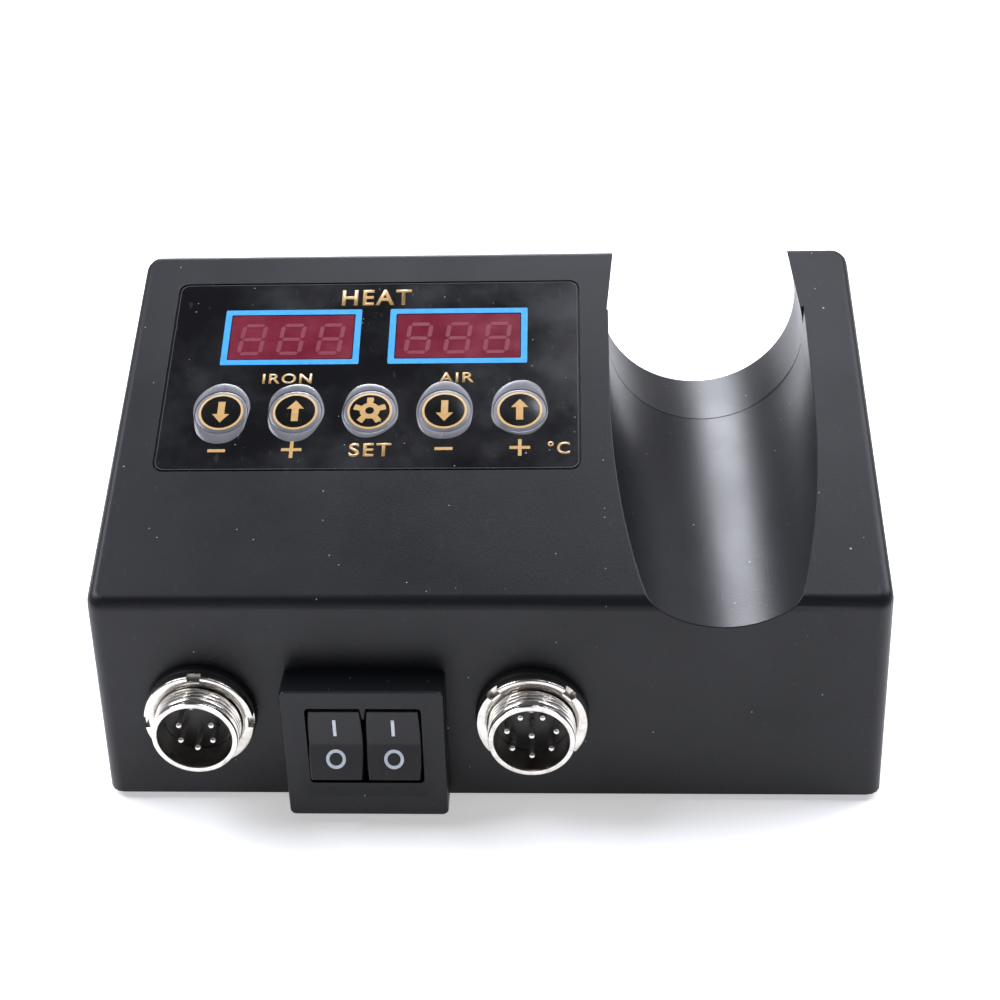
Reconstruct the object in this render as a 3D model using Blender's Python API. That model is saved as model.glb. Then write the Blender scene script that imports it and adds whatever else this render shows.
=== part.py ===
"""Two-channel soldering and hot-air station: a drafted plastic case with a sloping
control panel, a half-round cradle for the hot-air handle, two round multi-pin
sockets and a double rocker switch on the front, and the electronics inside.

Units are metres and +Z is up. The frame's origin is the bottom centre of the
bounding box. Sizes are first given from the case's front bottom edge: x across,
y back and z up from the underside of the case.
"""

import math

import bmesh
import bpy
from mathutils import Matrix, Vector

# Case
CASE_WIDTH = 0.147
CASE_DEPTH = 0.082
FRONT_HEIGHT = 0.044
BACK_HEIGHT = 0.0755
DRAFT = math.radians(1.5)
WALL = 0.0025
CORNER_RADIUS = 0.003
TOP_EDGE_RADIUS = 0.002
CASE_FRONT_Y = -0.03847
FOOT_HEIGHT = 0.0015
BELOW = 0.004

# Cradle for the hot-air handle
CRADLE_FRONT_X = 0.0424
CRADLE_REAR_X = 0.0419
CRADLE_FRONT_RADIUS = 0.0193
CRADLE_FRONT_AXIS_Z = 0.0579
CRADLE_TILT = math.radians(4.7)
CRADLE_REAR_RADIUS = 0.0199
CRADLE_REAR_AXIS_Z = 0.06365
CRADLE_REAR_LEAN = math.radians(15.0)
CRADLE_SEAM_Y = 0.065
CRADLE_SEAM_LAP = 0.0002
CRADLE_EDGE_RADIUS = 0.0012
CRADLE_EDGE_STEPS = 3
CRADLE_STEPS = 40
CRADLE_REACH = 0.015
CRADLE_TOP = 0.095
ON_WALL = 0.00002
ON_CURVE = 0.00006
SEAM_MARGIN = 0.0001
SEAM_REACH = 0.001
MERGE = 0.000002

# Control panel, measured down the slope from the top back edge
PANEL_CENTRE_X = -0.02315
PANEL_WIDTH = 0.0811
PANEL_FROM_TOP = 0.0086
PANEL_LENGTH = 0.0471
PANEL_RADIUS = 0.002
PANEL_RECESS = 0.0005
FILM_THICKNESS = 0.0004
FILM_GAP = 0.0003
FILM_TOP = -0.00005
WINDOW_X = (-0.0397, -0.0066)
WINDOW_FROM_TOP = 0.02285
WINDOW_WIDTH = 0.0249
WINDOW_LENGTH = 0.0116
WINDOW_LIP = 0.0005
KEY_COUNT = 5
KEY_FIRST_X = -0.05184
KEY_PITCH = 0.0144
KEY_FROM_TOP = 0.04173
KEY_RADIUS = 0.0051
KEY_HOLE_RADIUS = 0.0054
KEY_DOME = 0.00035
KEY_STEM_RADIUS = 0.0015
KEY_STEM_END = -0.0047

# Control board under the panel
BOARD_TOP = -0.0090
BOARD_THICKNESS = 0.0016
BOARD_WIDTH = 0.076
BOARD_LENGTH = 0.044
BOARD_FROM_TOP = 0.0325
DISPLAY_TOP = -0.0009
DISPLAY_MARGIN = 0.00025
TACT_SIZE = 0.006
TACT_HEIGHT = 0.0035
PART_GAP = 0.0002
BOARD_SCREW_X = (-0.0592, 0.0129)
BOARD_SCREW_FROM_TOP = 0.0322
BOARD_POST_RADIUS = 0.0028
BOARD_PILOT_RADIUS = 0.0008
BOARD_HOLE_RADIUS = 0.0011
BOARD_SCREW_RADIUS = 0.0007
BOARD_SCREW_LENGTH = 0.0053
BOARD_HEAD_RADIUS = 0.0022
BOARD_HEAD_HEIGHT = 0.0012

# Round sockets, as distances out from the front face
SOCKET_X = (-0.0533, 0.00805)
SOCKET_Z = (0.0200, 0.0195)
SOCKET_NAMES = ("iron", "air")
PIN_CIRCLE = (0.00345, 0.0046)
PIN_ANGLES = ((-90, -30, 30, 150, 210), (-90, -39, 13, 64, 116, 167, 219))
PIN_IN_MIDDLE = (False, True)
SOCKET_RIM = 0.0085
SOCKET_BACK = -0.0125
BARREL_RADIUS = 0.0080
BARREL_BORE = 0.0069
THREAD_PITCH = 0.001
THREAD_TURNS = 4
THREAD_DEPTH = 0.0004
THREAD_END = 0.0079
TURNED_EDGE = 0.0003
FLANGE_RADIUS = 0.0098
FLANGE_THICKNESS = 0.0015
NIB_RADIUS = 0.0009
NIB_REACH = 0.0003
INSERT_FACE = 0.0026
INSERT_LENGTH = 0.0075
PIN_RADIUS = 0.00065
PIN_FRONT = 0.0073
PIN_BACK = -0.0085
PIN_GAP = 0.00005
PIN_TIP = 0.0004
COLLAR_RADIUS = 0.0104
COLLAR_THICKNESS = 0.0020
NUT_RADIUS = 0.0102
NUT_THICKNESS = 0.0017
NUT_SLOTS = 4
NUT_SLOT_WIDTH = 0.0026
NUT_SLOT_DEPTH = 0.0009
NUT_SLOT_LENGTH = 0.0013
NUT_SLOT_TURN = (0.0, math.radians(45.0))
SOCKET_CLEARANCE = 0.0003
ROUND_STEPS = 36

# Switch shroud and double rocker switch
SHROUD_X = -0.0226
SHROUD_WIDTH = 0.0298
SHROUD_HEIGHT = 0.02885
SHROUD_BOTTOM = 0.00035
SHROUD_OUT = 0.0067
SHROUD_CORNER = 0.0010
SHROUD_EDGE = 0.0005
SWITCH_Z = 0.0161
DISH_WIDTH = 0.0256
DISH_HEIGHT = 0.0222
DISH_DEPTH = 0.0009
DISH_CORNER = 0.0016
DISH_SLOPE = 0.0014
SWITCH_LIP = 0.0012
HOUSING_WIDTH = 0.0225
HOUSING_HEIGHT = 0.0193
HOUSING_BACK = -0.0130
HOUSING_GAP = 0.00015
HOUSING_CORNER = 0.0006
WEDGE_HALF = 0.0006
WEDGE_TIP_HALF = 0.0001
WEDGE_LENGTH = 0.0027
SWITCH_MOUTH_WIDTH = 0.0213
SWITCH_MOUTH_HEIGHT = 0.0174
SWITCH_MOUTH_CORNER = 0.0008
SWITCH_MOUTH_DEPTH = 0.0105
ROCKER_OFFSET = 0.00535
ROCKER_RISE = 0.0002
ROCKER_PIVOT_OUT = 0.0025
ROCKER_REACH = 0.00475
ROCKER_HALF_LENGTH = 0.0072
ROCKER_TILT = math.radians(11.0)
ROCKER_MIDDLE_WIDTH = 0.0101
ROCKER_END_WIDTH = 0.0094
ROCKER_BACK = 0.0010
ROCKER_STATIONS = 12
ROCKER_EDGE = 0.0003

# Base plate, feet and screws
PLATE_TOP = 0.0025
PLATE_BOTTOM = 0.0003
PLATE_GAP = 0.0004
FOOT_RADIUS = 0.0055
FOOT_INSET_X = 0.0565
FOOT_Y = (0.0125, 0.0695)
BOSS_RADIUS = 0.0036
BOSS_HOLE_RADIUS = 0.0016
BOSS_HEIGHT = 0.018
BOSS_X = 0.0672
BOSS_Y = (0.0125, 0.0695)
BASE_SCREW_RADIUS = 0.00145
BASE_SCREW_LENGTH = 0.009
SCREW_HEAD_RADIUS = 0.0027
SCREW_HEAD_HEIGHT = 0.0011
VENT_COUNT = 6
VENT_PITCH = 0.0055
VENT_WIDTH = 0.0022
VENT_LENGTH = 0.016
BACK_VENT_X = -0.010
STANDOFF_RADIUS = 0.003
STANDOFF_TOP = 0.0065
STANDOFF_INSET = 0.004
BASE_VENT_X = 0.028
PLATE_CORNER = 0.001
PLATE_HOLE_RADIUS = 0.0018
FOOT_EDGE = 0.0004
CROSS_HALF_LENGTH = 0.0015
CROSS_HALF_WIDTH = 0.0003
CROSS_DEPTH = 0.0006
SCREW_POINT = 0.0008

# Power board and what stands on it
POWER_BOARD_WIDTH = 0.092
POWER_BOARD_DEPTH = 0.050
POWER_BOARD_X = -0.005
POWER_BOARD_Y = 0.0475
POWER_BOARD_BOTTOM = 0.0067
TRANSFORMER_SIZE = (0.024, 0.020, 0.017)
TRANSFORMER_X = -0.030
TRANSFORMER_Y = 0.052
CORE_THICKNESS = 0.003
CORE_CORNER = 0.001
CAPACITOR_RADIUS = 0.008
CAPACITOR_HEIGHT = 0.022
CAPACITOR_X = 0.002
CAPACITOR_Y = 0.060

# Cord gland in the back wall
GLAND_X = -0.052
GLAND_Z = 0.020
GLAND_BORE = 0.0036
GLAND_BODY_RADIUS = 0.0060
GLAND_HEAD_RADIUS = 0.0085
GLAND_HEAD = 0.0035
GLAND_LENGTH = 0.0105
GLAND_NUT_RADIUS = 0.0088
GLAND_NUT_THICKNESS = 0.0035
GLAND_CHAMFER = 0.0015
GLAND_LEAD_IN = 0.0006

FRONT_TOP_Y = FRONT_HEIGHT * math.tan(DRAFT)
BACK_TOP_Y = CASE_DEPTH - BACK_HEIGHT * math.tan(DRAFT)
SLOPE = math.atan2(BACK_HEIGHT - FRONT_HEIGHT, BACK_TOP_Y - FRONT_TOP_Y)
CASE_PLACE = Matrix.Translation((0.0, CASE_FRONT_Y, FOOT_HEIGHT))


def panel_frame():
    """Frame on the slope: x across, y up the slope from the top back edge, z out of the panel."""
    turn = Matrix.Rotation(SLOPE, 4, "X")
    return CASE_PLACE @ Matrix.Translation((0.0, BACK_TOP_Y, BACK_HEIGHT)) @ turn


def front_frame(x, z):
    """Frame on the leaning front face: x across, y up the face, z out of the face."""
    turn = Matrix.Rotation(math.pi / 2 - DRAFT, 4, "X")
    place = Matrix.Translation((x, z * math.tan(DRAFT), z))
    return CASE_PLACE @ place @ turn


def back_frame(x, z):
    """Frame on the leaning back face: x to the left seen from behind, y up, z out of the face."""
    turn = Matrix.Rotation(math.pi, 4, "Z") @ Matrix.Rotation(math.pi / 2 - DRAFT, 4, "X")
    place = Matrix.Translation((x, CASE_DEPTH - z * math.tan(DRAFT), z))
    return CASE_PLACE @ place @ turn


PANEL = panel_frame()


def clear_scene():
    for obj in list(bpy.data.objects):
        bpy.data.objects.remove(obj)


def material(name, colour, roughness, metallic=0.0):
    made = bpy.data.materials.new(name)
    made.use_nodes = True
    shader = made.node_tree.nodes["Principled BSDF"]
    shader.inputs["Base Color"].default_value = (*colour, 1.0)
    shader.inputs["Roughness"].default_value = roughness
    shader.inputs["Metallic"].default_value = metallic
    return made


def new_object(name, bm, place=None):
    if place is not None:
        bmesh.ops.transform(bm, matrix=place, verts=bm.verts)
    bmesh.ops.recalc_face_normals(bm, faces=bm.faces)
    mesh = bpy.data.meshes.new(name)
    bm.to_mesh(mesh)
    bm.free()
    obj = bpy.data.objects.new(name, mesh)
    bpy.context.scene.collection.objects.link(obj)
    return obj


def add_loft(bm, rings):
    """Closed solid through rings of equal length, capped at both ends."""
    rows = [[bm.verts.new(point) for point in ring] for ring in rings]
    count = len(rows[0])
    for lower, upper in zip(rows, rows[1:]):
        for i in range(count):
            j = (i + 1) % count
            bm.faces.new((lower[i], lower[j], upper[j], upper[i]))
    bm.faces.new(rows[0][::-1])
    bm.faces.new(rows[-1])


def add_box(bm, low, high):
    corners = [(low[0], low[1]), (high[0], low[1]), (high[0], high[1]), (low[0], high[1])]
    add_loft(bm, [[Vector((x, y, z)) for x, y in corners] for z in (low[2], high[2])])


def circle(radius, z, x=0.0, y=0.0, steps=ROUND_STEPS, turn=0.0):
    angles = [turn + 2 * math.pi * i / steps for i in range(steps)]
    return [Vector((x + radius * math.cos(a), y + radius * math.sin(a), z)) for a in angles]


def rounded_rectangle(width, height, radius, z, x=0.0, y=0.0, steps=4):
    points = []
    for corner, (sx, sy) in enumerate(((1, 1), (-1, 1), (-1, -1), (1, -1))):
        cx = x + sx * (width / 2 - radius)
        cy = y + sy * (height / 2 - radius)
        for i in range(steps + 1):
            a = math.pi / 2 * (corner + i / steps)
            points.append(Vector((cx + radius * math.cos(a), cy + radius * math.sin(a), z)))
    return points


def add_tube(bm, profile, x=0.0, y=0.0, steps=ROUND_STEPS):
    """Turns a closed profile of (radius, height) points round the z axis into a ring."""
    rows = [[bm.verts.new(p) for p in circle(r, z, x, y, steps)] for r, z in profile]
    for lower, upper in zip(rows, rows[1:] + rows[:1]):
        for i in range(steps):
            j = (i + 1) % steps
            bm.faces.new((lower[i], lower[j], upper[j], upper[i]))


def combine(target, cutter, operation="DIFFERENCE"):
    """Cuts or joins the cutter into the target, keeps the result and drops the cutter."""
    modifier = target.modifiers.new("combine", "BOOLEAN")
    modifier.operation = operation
    modifier.object = cutter
    bpy.context.view_layer.update()
    graph = bpy.context.evaluated_depsgraph_get()
    result = bpy.data.meshes.new_from_object(target.evaluated_get(graph))
    target.modifiers.remove(modifier)
    target.data = result
    bpy.data.objects.remove(cutter)


def finish(obj, look, smooth=None):
    """Gives the piece its material and, for a turned piece, smooth sides with sharp edges."""
    obj.data.materials.clear()
    obj.data.materials.append(look)
    if smooth is not None:
        for polygon in obj.data.polygons:
            polygon.use_smooth = True
        obj.data.set_sharp_from_angle(angle=smooth)
    return obj


def move_origin(obj, point):
    """Puts the object's origin on its joint's axis without moving the piece."""
    obj.data.transform(Matrix.Translation(-point))
    obj.location = point


def case_prism(inset, bottom):
    """The eight corners of the drafted case, moved in by the inset, as a solid."""
    lean = math.tan(DRAFT)
    top_drop = inset / math.cos(SLOPE)
    slope = math.tan(SLOPE)
    bm = bmesh.new()
    rings = []
    for level in ("bottom", "top"):
        ring = []
        for sx, back in ((-1, 0), (1, 0), (1, 1), (-1, 1)):
            if level == "bottom":
                z = bottom
            else:
                y_edge = BACK_TOP_Y - inset if back else FRONT_TOP_Y + inset
                z = FRONT_HEIGHT + (y_edge - FRONT_TOP_Y) * slope - top_drop
            y = CASE_DEPTH - inset - z * lean if back else inset + z * lean
            x = sx * (CASE_WIDTH / 2 - inset - z * lean)
            ring.append(Vector((x, y, z)))
        rings.append(ring)
    add_loft(bm, rings)
    return bm


def outer_case():
    bm = case_prism(0.0, 0.0)
    bm.edges.ensure_lookup_table()
    upright = [e for e in bm.edges if abs(e.verts[0].co.z - e.verts[1].co.z) > FRONT_HEIGHT / 2]
    upright = [e for e in upright if min(v.co.z for v in e.verts) < BELOW]
    bmesh.ops.bevel(bm, geom=upright, offset=CORNER_RADIUS, segments=4, profile=0.5,
                    affect="EDGES", clamp_overlap=True)
    top = [e for e in bm.edges if all(v.co.z > FRONT_HEIGHT - BELOW for v in e.verts)]
    bmesh.ops.bevel(bm, geom=top, offset=TOP_EDGE_RADIUS, segments=3, profile=0.5,
                    affect="EDGES", clamp_overlap=True)
    return new_object("shell", bm, CASE_PLACE)


def cradle_front_ring(y, extra, top):
    """Half-round trough with upright walls above its axis, as an outline in the plane at y."""
    radius = CRADLE_FRONT_RADIUS + extra
    axis_z = CRADLE_FRONT_AXIS_Z + y * math.tan(CRADLE_TILT)
    ring = []
    for i in range(CRADLE_STEPS + 1):
        a = math.pi + math.pi * i / CRADLE_STEPS
        ring.append(Vector((CRADLE_FRONT_X + radius * math.cos(a), y, axis_z + radius * math.sin(a))))
    ring.append(Vector((CRADLE_FRONT_X + radius, y, top)))
    ring.append(Vector((CRADLE_FRONT_X - radius, y, top)))
    return ring


def cradle_rear_ring(y, extra, top):
    """More than half-round ring whose sides lean in above the axis."""
    radius = CRADLE_REAR_RADIUS + extra
    start = math.pi - CRADLE_REAR_LEAN
    sweep = math.pi + 2 * CRADLE_REAR_LEAN
    ring = []
    for i in range(CRADLE_STEPS + 1):
        a = start + sweep * i / CRADLE_STEPS
        x = CRADLE_REAR_X + radius * math.cos(a)
        ring.append(Vector((x, y, CRADLE_REAR_AXIS_Z + radius * math.sin(a))))
    rise = top - ring[-1].z
    ring.append(Vector((ring[-1].x - rise * math.tan(CRADLE_REAR_LEAN), y, top)))
    ring.append(Vector((ring[0].x + rise * math.tan(CRADLE_REAR_LEAN), y, top)))
    return ring


def cradle_solid(kind, extra):
    bm = bmesh.new()
    if kind == "front":
        ends = (-CRADLE_REACH, CRADLE_SEAM_Y + extra)
        add_loft(bm, [cradle_front_ring(y, extra, CRADLE_TOP) for y in ends])
    else:
        ends = (CRADLE_SEAM_Y - CRADLE_SEAM_LAP - extra, CASE_DEPTH + CRADLE_REACH)
        add_loft(bm, [cradle_rear_ring(y, extra, CRADLE_TOP) for y in ends])
    return new_object("cradle_" + kind, bm, CASE_PLACE)


def shroud_block():
    """Block that carries the switch, proud of the front face and level with the underside."""
    bm = bmesh.new()
    rings = []
    levels = ((-WALL / 2, 0.0), (SHROUD_OUT - SHROUD_EDGE, 0.0),
              (SHROUD_OUT - SHROUD_EDGE * 0.3, SHROUD_EDGE * 0.3), (SHROUD_OUT, SHROUD_EDGE))
    for out, inset in levels:
        low = SHROUD_BOTTOM + inset
        high = SHROUD_BOTTOM + SHROUD_HEIGHT - inset
        rings.append(rounded_rectangle(SHROUD_WIDTH - 2 * inset, high - low, SHROUD_CORNER, out,
                                       0.0, (low + high) / 2))
    add_loft(bm, rings)
    return new_object("shroud", bm, front_frame(SHROUD_X, 0.0))


def cavity():
    """Hollow of the case, which leaves the wall standing round the cradle."""
    hollow = new_object("hollow", case_prism(WALL, -BELOW), CASE_PLACE)
    combine(hollow, cradle_solid("front", WALL))
    combine(hollow, cradle_solid("rear", WALL))
    return hollow


def case_bosses():
    """Four screw posts that run up the side walls."""
    bm = bmesh.new()
    for x in (-BOSS_X, BOSS_X):
        for y in BOSS_Y:
            levels = (PLATE_TOP + PLATE_GAP, BOSS_HEIGHT)
            add_loft(bm, [circle(BOSS_RADIUS, z, x, y, 16) for z in levels])
    return new_object("bosses", bm, CASE_PLACE)


def boss_holes():
    bm = bmesh.new()
    for x in (-BOSS_X, BOSS_X):
        for y in BOSS_Y:
            add_loft(bm, [circle(BOSS_HOLE_RADIUS, z, x, y, 12) for z in (0.0, BOSS_HEIGHT - WALL)])
    return new_object("boss_holes", bm, CASE_PLACE)


def panel_posts():
    """Two posts under the panel that the control board is screwed to."""
    bm = bmesh.new()
    for x in BOARD_SCREW_X:
        levels = (BOARD_TOP + PART_GAP, -WALL / 2)
        add_loft(bm, [circle(BOARD_POST_RADIUS, z, x, -BOARD_SCREW_FROM_TOP, 12) for z in levels])
    return new_object("panel_posts", bm, PANEL)


def panel_recess():
    bm = bmesh.new()
    centre = -(PANEL_FROM_TOP + PANEL_LENGTH / 2)
    rings = [rounded_rectangle(PANEL_WIDTH, PANEL_LENGTH, PANEL_RADIUS, z, PANEL_CENTRE_X, centre)
             for z in (-PANEL_RECESS, WALL)]
    add_loft(bm, rings)
    return new_object("panel_recess", bm, PANEL)


def key_x(i):
    return KEY_FIRST_X + i * KEY_PITCH


def panel_holes():
    """Openings under the film: two display windows, five key holes and two screw pilots."""
    bm = bmesh.new()
    for x in WINDOW_X:
        width = WINDOW_WIDTH + 2 * (WINDOW_LIP + DISPLAY_MARGIN)
        length = WINDOW_LENGTH + 2 * (WINDOW_LIP + DISPLAY_MARGIN)
        low = (x - width / 2, -WINDOW_FROM_TOP - length / 2, -2 * WALL)
        add_box(bm, low, (x + width / 2, -WINDOW_FROM_TOP + length / 2, WALL))
    for i in range(KEY_COUNT):
        add_loft(bm, [circle(KEY_HOLE_RADIUS, z, key_x(i), -KEY_FROM_TOP, 28) for z in (-2 * WALL, WALL)])
    for x in BOARD_SCREW_X:
        levels = (BOARD_TOP, -2 * WALL)
        add_loft(bm, [circle(BOARD_PILOT_RADIUS, z, x, -BOARD_SCREW_FROM_TOP, 8) for z in levels])
    return new_object("panel_holes", bm, PANEL)


def socket_hole(x, z):
    bm = bmesh.new()
    add_loft(bm, [circle(BARREL_RADIUS + SOCKET_CLEARANCE, out) for out in (-2 * WALL, WALL)])
    return new_object("socket_hole", bm, front_frame(x, z))


def switch_hole():
    """Opening through the shroud: a pocket for the housing, the mouth and the dish round it."""
    bm = bmesh.new()
    width = HOUSING_WIDTH + 2 * HOUSING_GAP
    height = HOUSING_HEIGHT + 2 * HOUSING_GAP
    floor = SHROUD_OUT - DISH_DEPTH
    slope = 2 * DISH_SLOPE
    mouth = (SWITCH_MOUTH_WIDTH, SWITCH_MOUTH_HEIGHT, SWITCH_MOUTH_CORNER)
    rings = [rounded_rectangle(width, height, HOUSING_CORNER, -3 * WALL),
             rounded_rectangle(width, height, HOUSING_CORNER, floor - SWITCH_LIP),
             rounded_rectangle(*mouth, floor - SWITCH_LIP),
             rounded_rectangle(*mouth, floor),
             rounded_rectangle(DISH_WIDTH - slope, DISH_HEIGHT - slope, DISH_CORNER, floor),
             rounded_rectangle(DISH_WIDTH, DISH_HEIGHT, DISH_CORNER, SHROUD_OUT),
             rounded_rectangle(DISH_WIDTH, DISH_HEIGHT, DISH_CORNER, SHROUD_OUT + WALL)]
    add_loft(bm, rings)
    return new_object("switch_hole", bm, front_frame(SHROUD_X, SWITCH_Z))


def switch_wedge():
    """Small wedge that hangs from the top of the switch's opening, between the rockers."""
    floor = SHROUD_OUT - DISH_DEPTH
    top = SWITCH_MOUTH_HEIGHT / 2 + PART_GAP
    tip = top - WEDGE_LENGTH
    outline = [(-WEDGE_HALF, top), (WEDGE_HALF, top), (WEDGE_TIP_HALF, tip), (-WEDGE_TIP_HALF, tip)]
    bm = bmesh.new()
    levels = (floor - SWITCH_LIP + PIN_GAP, floor - PIN_GAP)
    add_loft(bm, [[Vector((x, y, z)) for x, y in outline] for z in levels])
    return new_object("wedge", bm, front_frame(SHROUD_X, SWITCH_Z))


def back_holes():
    """Gland hole and a row of upright vents in the back wall."""
    bm = bmesh.new()
    add_loft(bm, [circle(GLAND_BODY_RADIUS + HOUSING_GAP, z, steps=28) for z in (-2 * WALL, WALL)])
    for i in range(VENT_COUNT):
        x = GLAND_X - (BACK_VENT_X + (i - (VENT_COUNT - 1) / 2) * VENT_PITCH)
        low = (x - VENT_WIDTH / 2, -VENT_LENGTH / 2, -2 * WALL)
        add_box(bm, low, (x + VENT_WIDTH / 2, VENT_LENGTH / 2, WALL))
    return new_object("back_holes", bm, back_frame(GLAND_X, GLAND_Z))


def on_front_trough(point):
    """True where a case point lies on the surface of the cradle's front trough."""
    axis_z = CRADLE_FRONT_AXIS_Z + point.y * math.tan(CRADLE_TILT)
    across = abs(point.x - CRADLE_FRONT_X)
    if point.z >= axis_z:
        return abs(across - CRADLE_FRONT_RADIUS) < ON_WALL
    return abs(math.hypot(across, point.z - axis_z) - CRADLE_FRONT_RADIUS) < ON_CURVE


def round_cradle_edge(shell):
    """Small radius along the mouth of the trough, from notch to notch."""
    bm = bmesh.new()
    bm.from_mesh(shell.data)
    bmesh.ops.remove_doubles(bm, verts=bm.verts, dist=MERGE)
    back = CASE_PLACE.inverted()
    place = {v: back @ v.co for v in bm.verts}
    inside = {f for f in bm.faces if all(on_front_trough(place[v]) for v in f.verts)}
    seam = CRADLE_SEAM_Y - CRADLE_SEAM_LAP - SEAM_MARGIN
    edges = []
    for edge in bm.edges:
        if sum(f in inside for f in edge.link_faces) != 1:
            continue
        ends = [place[v].y for v in edge.verts]
        if min(ends) > seam - SEAM_REACH and max(ends) > seam:
            continue
        edges.append(edge)
    bmesh.ops.bevel(bm, geom=edges, offset=CRADLE_EDGE_RADIUS, segments=CRADLE_EDGE_STEPS, profile=0.5,
                    affect="EDGES", clamp_overlap=True)
    bm.to_mesh(shell.data)
    bm.free()


def make_shell(look):
    shell = outer_case()
    combine(shell, shroud_block(), "UNION")
    combine(shell, cavity())
    combine(shell, case_bosses(), "UNION")
    combine(shell, panel_posts(), "UNION")
    combine(shell, boss_holes())
    combine(shell, cradle_solid("front", 0.0))
    combine(shell, cradle_solid("rear", 0.0))
    round_cradle_edge(shell)
    combine(shell, panel_recess())
    combine(shell, panel_holes())
    for x, z in zip(SOCKET_X, SOCKET_Z):
        combine(shell, socket_hole(x, z))
    combine(shell, switch_hole())
    combine(shell, switch_wedge(), "UNION")
    combine(shell, back_holes())
    finish(shell, look, math.radians(28.0))


def make_panel_film(look):
    """Printed film in the recess, with openings for the two windows and the five keys."""
    bm = bmesh.new()
    centre = -(PANEL_FROM_TOP + PANEL_LENGTH / 2)
    levels = (FILM_TOP - FILM_THICKNESS, FILM_TOP)
    rings = [rounded_rectangle(PANEL_WIDTH - 2 * FILM_GAP, PANEL_LENGTH - 2 * FILM_GAP,
                               PANEL_RADIUS - FILM_GAP, z, PANEL_CENTRE_X, centre) for z in levels]
    add_loft(bm, rings)
    film = new_object("panel_film", bm, PANEL)
    bm = bmesh.new()
    for x in WINDOW_X:
        low = (x - WINDOW_WIDTH / 2, -WINDOW_FROM_TOP - WINDOW_LENGTH / 2, -WALL)
        add_box(bm, low, (x + WINDOW_WIDTH / 2, -WINDOW_FROM_TOP + WINDOW_LENGTH / 2, WALL))
    for i in range(KEY_COUNT):
        rings = [circle(KEY_HOLE_RADIUS, z, key_x(i), -KEY_FROM_TOP, 28) for z in (-WALL, WALL)]
        add_loft(bm, rings)
    combine(film, new_object("film_holes", bm, PANEL))
    finish(film, look)


def make_windows(look):
    """Red filter panes that sit in the film over the displays."""
    for x, name in zip(WINDOW_X, SOCKET_NAMES):
        bm = bmesh.new()
        half_width = WINDOW_WIDTH / 2 - PART_GAP
        half_length = WINDOW_LENGTH / 2 - PART_GAP
        low = (x - half_width, -WINDOW_FROM_TOP - half_length, FILM_TOP - FILM_THICKNESS)
        add_box(bm, low, (x + half_width, -WINDOW_FROM_TOP + half_length, FILM_TOP))
        finish(new_object("window_" + name, bm, PANEL), look)


def make_keys(look):
    """Domed film keys, each with the stem that presses its switch."""
    for i in range(KEY_COUNT):
        bm = bmesh.new()
        base = FILM_TOP - FILM_THICKNESS
        x = key_x(i)
        rings = [circle(KEY_STEM_RADIUS, z, x, -KEY_FROM_TOP, 24) for z in (KEY_STEM_END, base)]
        rings.append(circle(KEY_RADIUS, base, x, -KEY_FROM_TOP, 24))
        rings.append(circle(KEY_RADIUS, FILM_TOP, x, -KEY_FROM_TOP, 24))
        for part in (0.35, 0.65, 0.9):
            height = FILM_TOP + KEY_DOME * math.sin(part * math.pi / 2)
            radius = KEY_RADIUS * math.cos(part * math.pi / 2)
            rings.append(circle(radius, height, x, -KEY_FROM_TOP, 24))
        add_loft(bm, rings)
        key = new_object("key_%d" % (i + 1), bm, PANEL)
        move_origin(key, PANEL @ Vector((x, -KEY_FROM_TOP, FILM_TOP)))
        finish(key, look, math.radians(40.0))


def make_control_board(look, screw_look):
    bm = bmesh.new()
    under = BOARD_TOP - BOARD_THICKNESS
    low = (PANEL_CENTRE_X - BOARD_WIDTH / 2, -BOARD_FROM_TOP - BOARD_LENGTH / 2, under)
    high = (PANEL_CENTRE_X + BOARD_WIDTH / 2, -BOARD_FROM_TOP + BOARD_LENGTH / 2, BOARD_TOP)
    add_box(bm, low, high)
    board = new_object("control_board", bm, PANEL)
    bm = bmesh.new()
    for x in BOARD_SCREW_X:
        levels = (BOARD_TOP - WALL, BOARD_TOP + WALL)
        add_loft(bm, [circle(BOARD_HOLE_RADIUS, z, x, -BOARD_SCREW_FROM_TOP, 12) for z in levels])
    combine(board, new_object("board_holes", bm, PANEL))
    finish(board, look)
    for i, x in enumerate(BOARD_SCREW_X):
        bm = bmesh.new()
        under = BOARD_TOP - BOARD_THICKNESS - PART_GAP
        steps = ((BOARD_HEAD_RADIUS * 0.86, -BOARD_HEAD_HEIGHT),
                 (BOARD_HEAD_RADIUS, -BOARD_HEAD_HEIGHT / 2), (BOARD_HEAD_RADIUS, 0.0),
                 (BOARD_SCREW_RADIUS, 0.0), (BOARD_SCREW_RADIUS, BOARD_SCREW_LENGTH))
        rings = [circle(radius, under + z, x, -BOARD_SCREW_FROM_TOP, 12) for radius, z in steps]
        add_loft(bm, rings)
        finish(new_object("board_screw_%d" % (i + 1), bm, PANEL), screw_look, math.radians(30.0))


def make_displays(look):
    """Three-digit display blocks that stand on the control board behind the windows."""
    for x, name in zip(WINDOW_X, SOCKET_NAMES):
        bm = bmesh.new()
        half_width = WINDOW_WIDTH / 2 + DISPLAY_MARGIN
        half_length = WINDOW_LENGTH / 2 + DISPLAY_MARGIN
        low = (x - half_width, -WINDOW_FROM_TOP - half_length, BOARD_TOP + PART_GAP)
        add_box(bm, low, (x + half_width, -WINDOW_FROM_TOP + half_length, DISPLAY_TOP))
        finish(new_object("display_" + name, bm, PANEL), look)


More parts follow.
